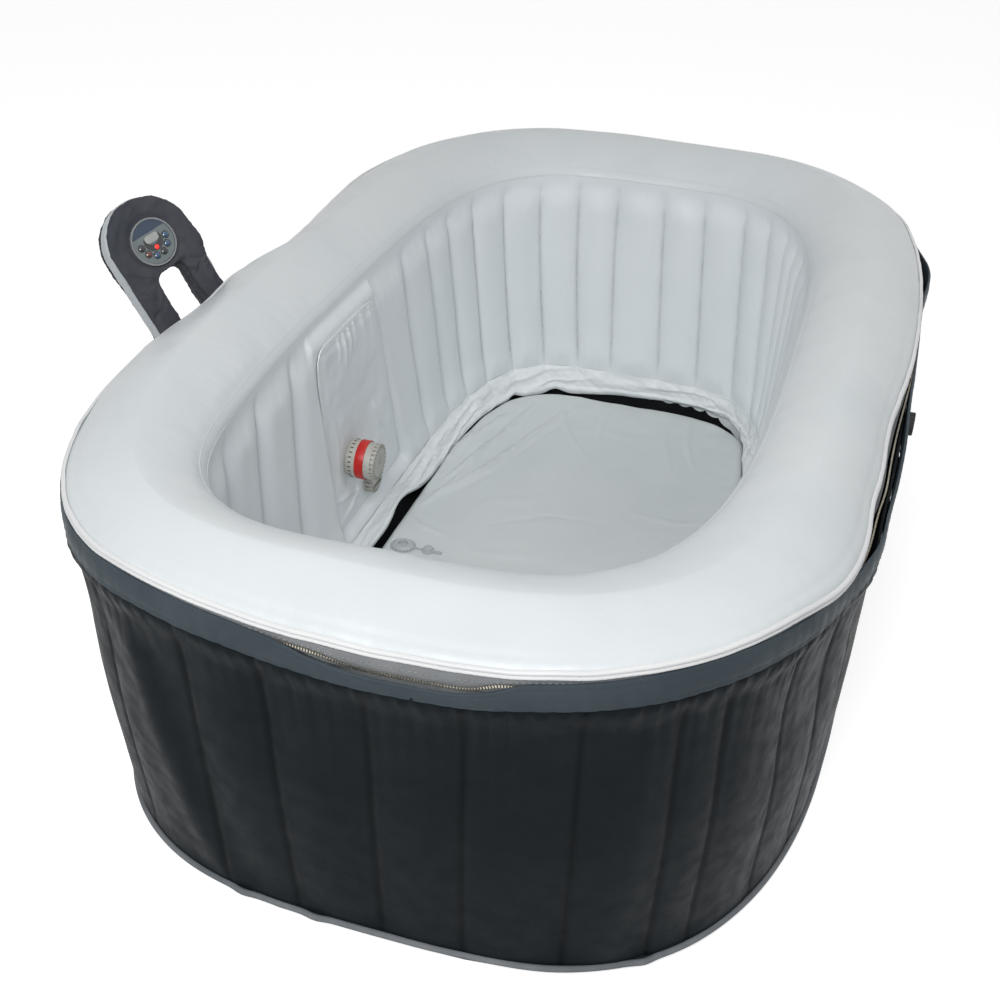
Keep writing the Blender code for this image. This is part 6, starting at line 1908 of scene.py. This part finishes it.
@dataclass(frozen=True)
class Studio:
    """Floor, light and the camera at the photograph's viewpoint."""

    yaw: float = -0.2945
    pitch: float = 0.561
    roll: float = 0.0413
    place: tuple[float, float, float] = (0.4802, -2.0826, 1.4791)
    lens: float = 51.463
    shift: tuple[float, float] = (0.0387, 0.0272)
    floor_glow: float = 0.68
    world_fill: float = 0.285

    def camera(self) -> None:
        """Set the camera."""
        flat = math.cos(self.pitch)
        ahead = Vector((math.sin(self.yaw) * flat, math.cos(self.yaw) * flat, -math.sin(self.pitch)))
        right = Vector((math.cos(self.yaw), -math.sin(self.yaw), 0.0))
        up = right.cross(ahead)
        side = right * math.cos(self.roll) + up * math.sin(self.roll)
        above = up * math.cos(self.roll) - right * math.sin(self.roll)
        data = bpy.data.cameras.new("camera")
        data.lens, data.sensor_width = self.lens, 36.0
        data.shift_x, data.shift_y = self.shift
        data.clip_end = 100.0
        camera = bpy.data.objects.new("camera", data)
        bpy.context.scene.collection.objects.link(camera)
        camera.matrix_world = Matrix.Translation(self.place) @ Matrix((side, above, -ahead)).transposed().to_4x4()
        bpy.context.scene.camera = camera

    def floor(self) -> None:
        """Lay a plain pale floor that is white to the camera but for the shadow."""
        size = 12.0
        work = bmesh.new()
        bmesh.ops.create_grid(work, x_segments=2, y_segments=2, size=size)
        bmesh.ops.translate(work, vec=(0, 0, -0.0005), verts=work.verts)
        floor = finish_work("studio_floor", work)
        s = new_shader("studio_floor")
        s.plain(Base_Color=(0.80, 0.80, 0.80, 1.0), Roughness=0.9)
        path = s.node("LightPath")
        seen = s.maths("MAXIMUM", path.outputs["Is Camera Ray"], path.outputs["Is Glossy Ray"])
        glow = s.node("Emission")
        glow.inputs["Color"].default_value = (1.0, 1.0, 1.0, 1.0)
        glow.inputs["Strength"].default_value = self.floor_glow
        both = s.node("AddShader")
        mix = s.node("MixShader")
        output = s.nodes["Material Output"]
        s.link(seen, mix.inputs["Fac"])
        wire(
            s.material.node_tree, (s.principled, "BSDF", both, 0), (glow, "Emission", both, 1),
            (s.principled, "BSDF", mix, 1), (both, "Shader", mix, 2), (mix, "Shader", output, "Surface"),
        )
        dress(floor, s.material)

    def light(self) -> None:
        """Set a soft even world and three large lamps."""
        world = bpy.data.worlds.new("studio")
        bpy.context.scene.world = world
        world.use_nodes = True
        nodes = world.node_tree.nodes
        path, background = nodes.new("ShaderNodeLightPath"), nodes["Background"]
        seen = nodes.new("ShaderNodeMath")
        seen.operation = "MAXIMUM"
        more = nodes.new("ShaderNodeMath")
        more.operation = "MAXIMUM"
        level = nodes.new("ShaderNodeMapRange")
        level.inputs["To Min"].default_value = self.world_fill
        level.inputs["To Max"].default_value = 1.0
        wire(
            world.node_tree, (path, "Is Camera Ray", seen, 0), (path, "Is Glossy Ray", seen, 1), (seen, 0, more, 0),
            (path, "Is Transmission Ray", more, 1), (more, 0, level, "Value"),
            (level, "Result", background, "Strength"),
        )
        background.inputs["Color"].default_value = (1.0, 1.0, 1.0, 1.0)
        for name, place, size, power in (
            ("front", (0.05, -2.52, 2.32), 1.1, 50.0),
            ("top", (0.10, -0.30, 3.10), 1.6, 7.0),
            ("side", (1.60, 0.40, 2.45), 1.4, 8.0),
        ):
            data = bpy.data.lights.new(name, "AREA")
            data.shape, data.size, data.energy = "SQUARE", size, power
            lamp = bpy.data.objects.new(name, data)
            bpy.context.scene.collection.objects.link(lamp)
            lamp.location = place
            lamp.rotation_euler = (Vector((0, 0, 0.3)) - Vector(place)).to_track_quat("-Z", "Y").to_euler()

    def make(self) -> None:
        """Set everything up."""
        self.floor()
        self.light()
        self.camera()
        bpy.context.scene.view_settings.view_transform = "Standard"


def main() -> None:
    """Build and dress the tub."""
    logging.basicConfig(level=logging.INFO)
    Studio().make()
    vinyl = Vinyl("rim_vinyl", Palette.VINYL, Palette.VINYL_SHADE).make()
    welt = Vinyl("welt_vinyl", Palette.WELT, Palette.WELT_SHADE, 0.34, 60.0, 0.0004).make()
    wall_vinyl = Vinyl("wall_vinyl", Palette.WALL, Palette.WALL_SHADE, 0.42, 12.0, 0.0018, seam_shade=0.36).make()
    mat_vinyl = Vinyl("mat_vinyl", Palette.MAT, Palette.MAT_SHADE, 0.45, 22.0, 0.0014).make()
    fabric = Leatherette("jacket_fabric", Palette.CHARCOAL, Palette.CHARCOAL_WORN).make()
    band = Leatherette("band_fabric", Palette.SLATE, Palette.SLATE_PALE, roughness=0.40).make()
    piping = Leatherette("piping_fabric", Palette.PIPING, Palette.PIPING_PALE, roughness=0.5).make()
    cover = Leatherette("arch_fabric", Palette.COVER, Palette.COVER_PALE, roughness=0.6, wrinkle_depth=0.0016).make()
    tape = Webbing("zip_tape", Palette.TAPE, Palette.TAPE_DARK).make()
    thread = Webbing("pale_thread", Palette.WELT, Palette.TAPE, 900.0).make()
    silver = Moulding("zip_metal", (0.62, 0.58, 0.48), (0.42, 0.38, 0.30), 0.30, 1.0).make()
    beige = Moulding("beige_moulding", Palette.BEIGE.value, Palette.BEIGE_DARK.value, 0.42).make()
    red = Moulding("red_band", (0.60, 0.018, 0.012), (0.42, 0.010, 0.008), 0.36).make()
    dark = Moulding("dark_moulding", (0.030, 0.031, 0.034), (0.045, 0.046, 0.050), 0.45).make()
    clear = Moulding("clear_valve", (0.64, 0.67, 0.69), (0.54, 0.57, 0.59), 0.22, transmission=0.25).make()
    # Near-black finish for the gap beside the mat: painted shadow.
    gap_shadow = Leatherette("painted_gap_shadow", Palette.GAP_SHADOW, Palette.GAP_SHADOW_PALE, roughness=0.6).make()
    skirt_vinyl = Vinyl("skirt_vinyl", Palette.SKIRT, Palette.SKIRT_SHADE, 0.42, 18.0, 0.0014).make()
    strip_vinyl = Vinyl("arch_strip_vinyl", Palette.EDGE_STRIP, Palette.EDGE_STRIP_SHADE, 0.40, 60.0, 0.0004).make()
    bezel = Moulding("panel_bezel", (0.25, 0.26, 0.27), (0.19, 0.20, 0.21), 0.20, coat=0.6).make()
    slate_plate = Moulding("panel_plate", (0.155, 0.185, 0.190), (0.130, 0.158, 0.165), 0.36, coat=0.2).make()
    navy = Moulding("panel_navy", (0.018, 0.042, 0.082), (0.014, 0.032, 0.064), 0.26, coat=0.4).make()
    pane = Moulding("display_pane", (0.40, 0.41, 0.40), (0.33, 0.34, 0.34), 0.14, coat=0.8).make()
    jet = Moulding("jet_gloss", (0.010, 0.011, 0.014), (0.016, 0.017, 0.020), 0.18, coat=0.7).make()
    blue = Moulding("button_blue", (0.012, 0.085, 0.190), (0.009, 0.060, 0.140), 0.18, coat=0.9).make()
    maroon = Moulding("button_maroon", (0.150, 0.020, 0.012), (0.100, 0.014, 0.010), 0.18, coat=0.9).make()
    lit = Moulding("button_lit", (0.80, 0.030, 0.018), (0.60, 0.020, 0.012), 0.30, glow=(1.0, 0.05, 0.03),
                   glow_strength=0.55).make()
    slot_dark = Moulding("slot_shadow", (0.045, 0.043, 0.038), (0.070, 0.067, 0.060), 0.55).make()
    paper = Webbing("filter_paper", Palette.WELT, Palette.WELT_SHADE, 700.0).make()
    painted = Moulding("motor_paint", (0.17, 0.175, 0.18), (0.12, 0.125, 0.13), 0.45).make()
    nylon = Moulding("white_nylon", (0.66, 0.66, 0.63), (0.56, 0.56, 0.53), 0.42).make()
    steel = Moulding("brushed_steel", (0.56, 0.57, 0.58), (0.40, 0.41, 0.42), 0.32, 1.0).make()
    green = Moulding("board_green", (0.012, 0.105, 0.040), (0.020, 0.140, 0.055), 0.30, coat=0.5).make()
    hose = Moulding("grey_hose", (0.28, 0.29, 0.30), (0.20, 0.21, 0.22), 0.50).make()

    line, jacket, closure = ZipLine(), Jacket(), ZipClosure()
    note(jacket.make(line, fabric))
    note(jacket.piping(piping))
    flap, flap_lines = closure.band(line, band)
    note(flap)
    strip, strip_line = closure.tape(line, tape)
    note(strip)
    teeth = PathRepeat("zip_teeth", Repeat.TOOTH, 0.0034, 0.0016, 0.0034, 0.0022)
    note(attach(teeth.make([closure.teeth_path(line)], silver), "tub"))
    stitches = PathRepeat("flap_stitches", Repeat.STITCH, 0.0062, 0.0044, 0.0009, 0.0009)
    note(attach(stitches.make(flap_lines, band), "tub"))
    dots = PathRepeat("tape_stitches", Repeat.STITCH, 0.0070, 0.0046, 0.0011, 0.0011)
    note(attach(dots.make([strip_line], thread), "tub"))
    note(closure.welt(welt))
    note(TopTube().make(vinyl))
    wall, mat, arch = InnerWall(), FloorMat(), ControlArch()
    note(wall.make(wall_vinyl))
    note(EquipmentPanel().make(wall, wall_vinyl))
    note(mat.mat(mat_vinyl))
    note(mat.skirt(wall, skirt_vinyl))
    # A dark sheet in the gap between the mat and the strip: painted shadow.
    note(mat.shadow_sheet(gap_shadow))
    note(arch.layer("arch_cover", "arch_face", "cover", cover, -0.0115, 0.0080, 0.0042, 0.0011, 101))
    side = arch.layer("arch_strip", "arch_band", "side", strip_vinyl, -0.0385, -0.0115, 0.0028, 0.0002, 103)
    note(side)
    note(arch.layer("arch_rear", "arch_back", "cover", cover, -0.0600, -0.0390, 0.0042, 0.0011, 105))
    arch.darken_hole(side, cover)
    panel, caps = ControlPanel(arch), CapRibs()
    # The dark rings round the buttons are painted shade in their recesses.
    for piece in (panel.upper(navy), panel.window(pane), panel.button_shade_rings(jet)):
        note(piece)
    for piece in FilterLook().make(red, slot_dark, paper):
        note(piece)
    note(caps.make("drain_cap_unscrew", "drain_cap", 0.016, 0.0065, 0.0110, dark))
    note(caps.make("air_cap_unscrew", "air_cap", 0.018, 0.0065, 0.0100, dark))
    for finish, nodes in (
        (fabric, ("jacket_base",)),
        # The floor sheet takes the same near-black finish: painted shadow in the gap beside the mat.
        (gap_shadow, ("floor_sheet",)),
        (wall_vinyl, ("bubble_hose",)),
        (bezel, ("panel_bezel",)),
        (slate_plate, ("panel_plate",)),
        (jet, ("crescent_lens", "button_3", "button_6")),
        (blue, ("button_1", "button_2", "button_4")),
        (maroon, ("button_5",)),
        (lit, ("button_centre",)),
        (beige, ("filter_shell", "filter_cap", "outlet_cap", "inlet_fitting", "outlet_fitting", "inlet_nut",
                 "outlet_nut")),
        (silver, ("zip_slider", "zip_pull")),
        (clear, ("mat_valve_patch", "mat_valve_body", "mat_valve_cap")),
        (dark, ("drain_valve", "drain_cap", "air_valve", "air_valve_cap", "unit_shell_rear", "unit_shell_front",
                "blower_case", "pump_volute", "pump_cover")),
        (painted, ("pump_motor",)),
        (nylon, ("pump_impeller", "blower_fan")),
        (steel, ("heater_tube", "arch_bracket")),
        (green, ("circuit_board",)),
        (hose, ("suction_pipe", "pump_pipe", "return_pipe")),
    ):
        for node in nodes:
            dress_solid(node, finish)


if __name__ == "__main__":
    main()
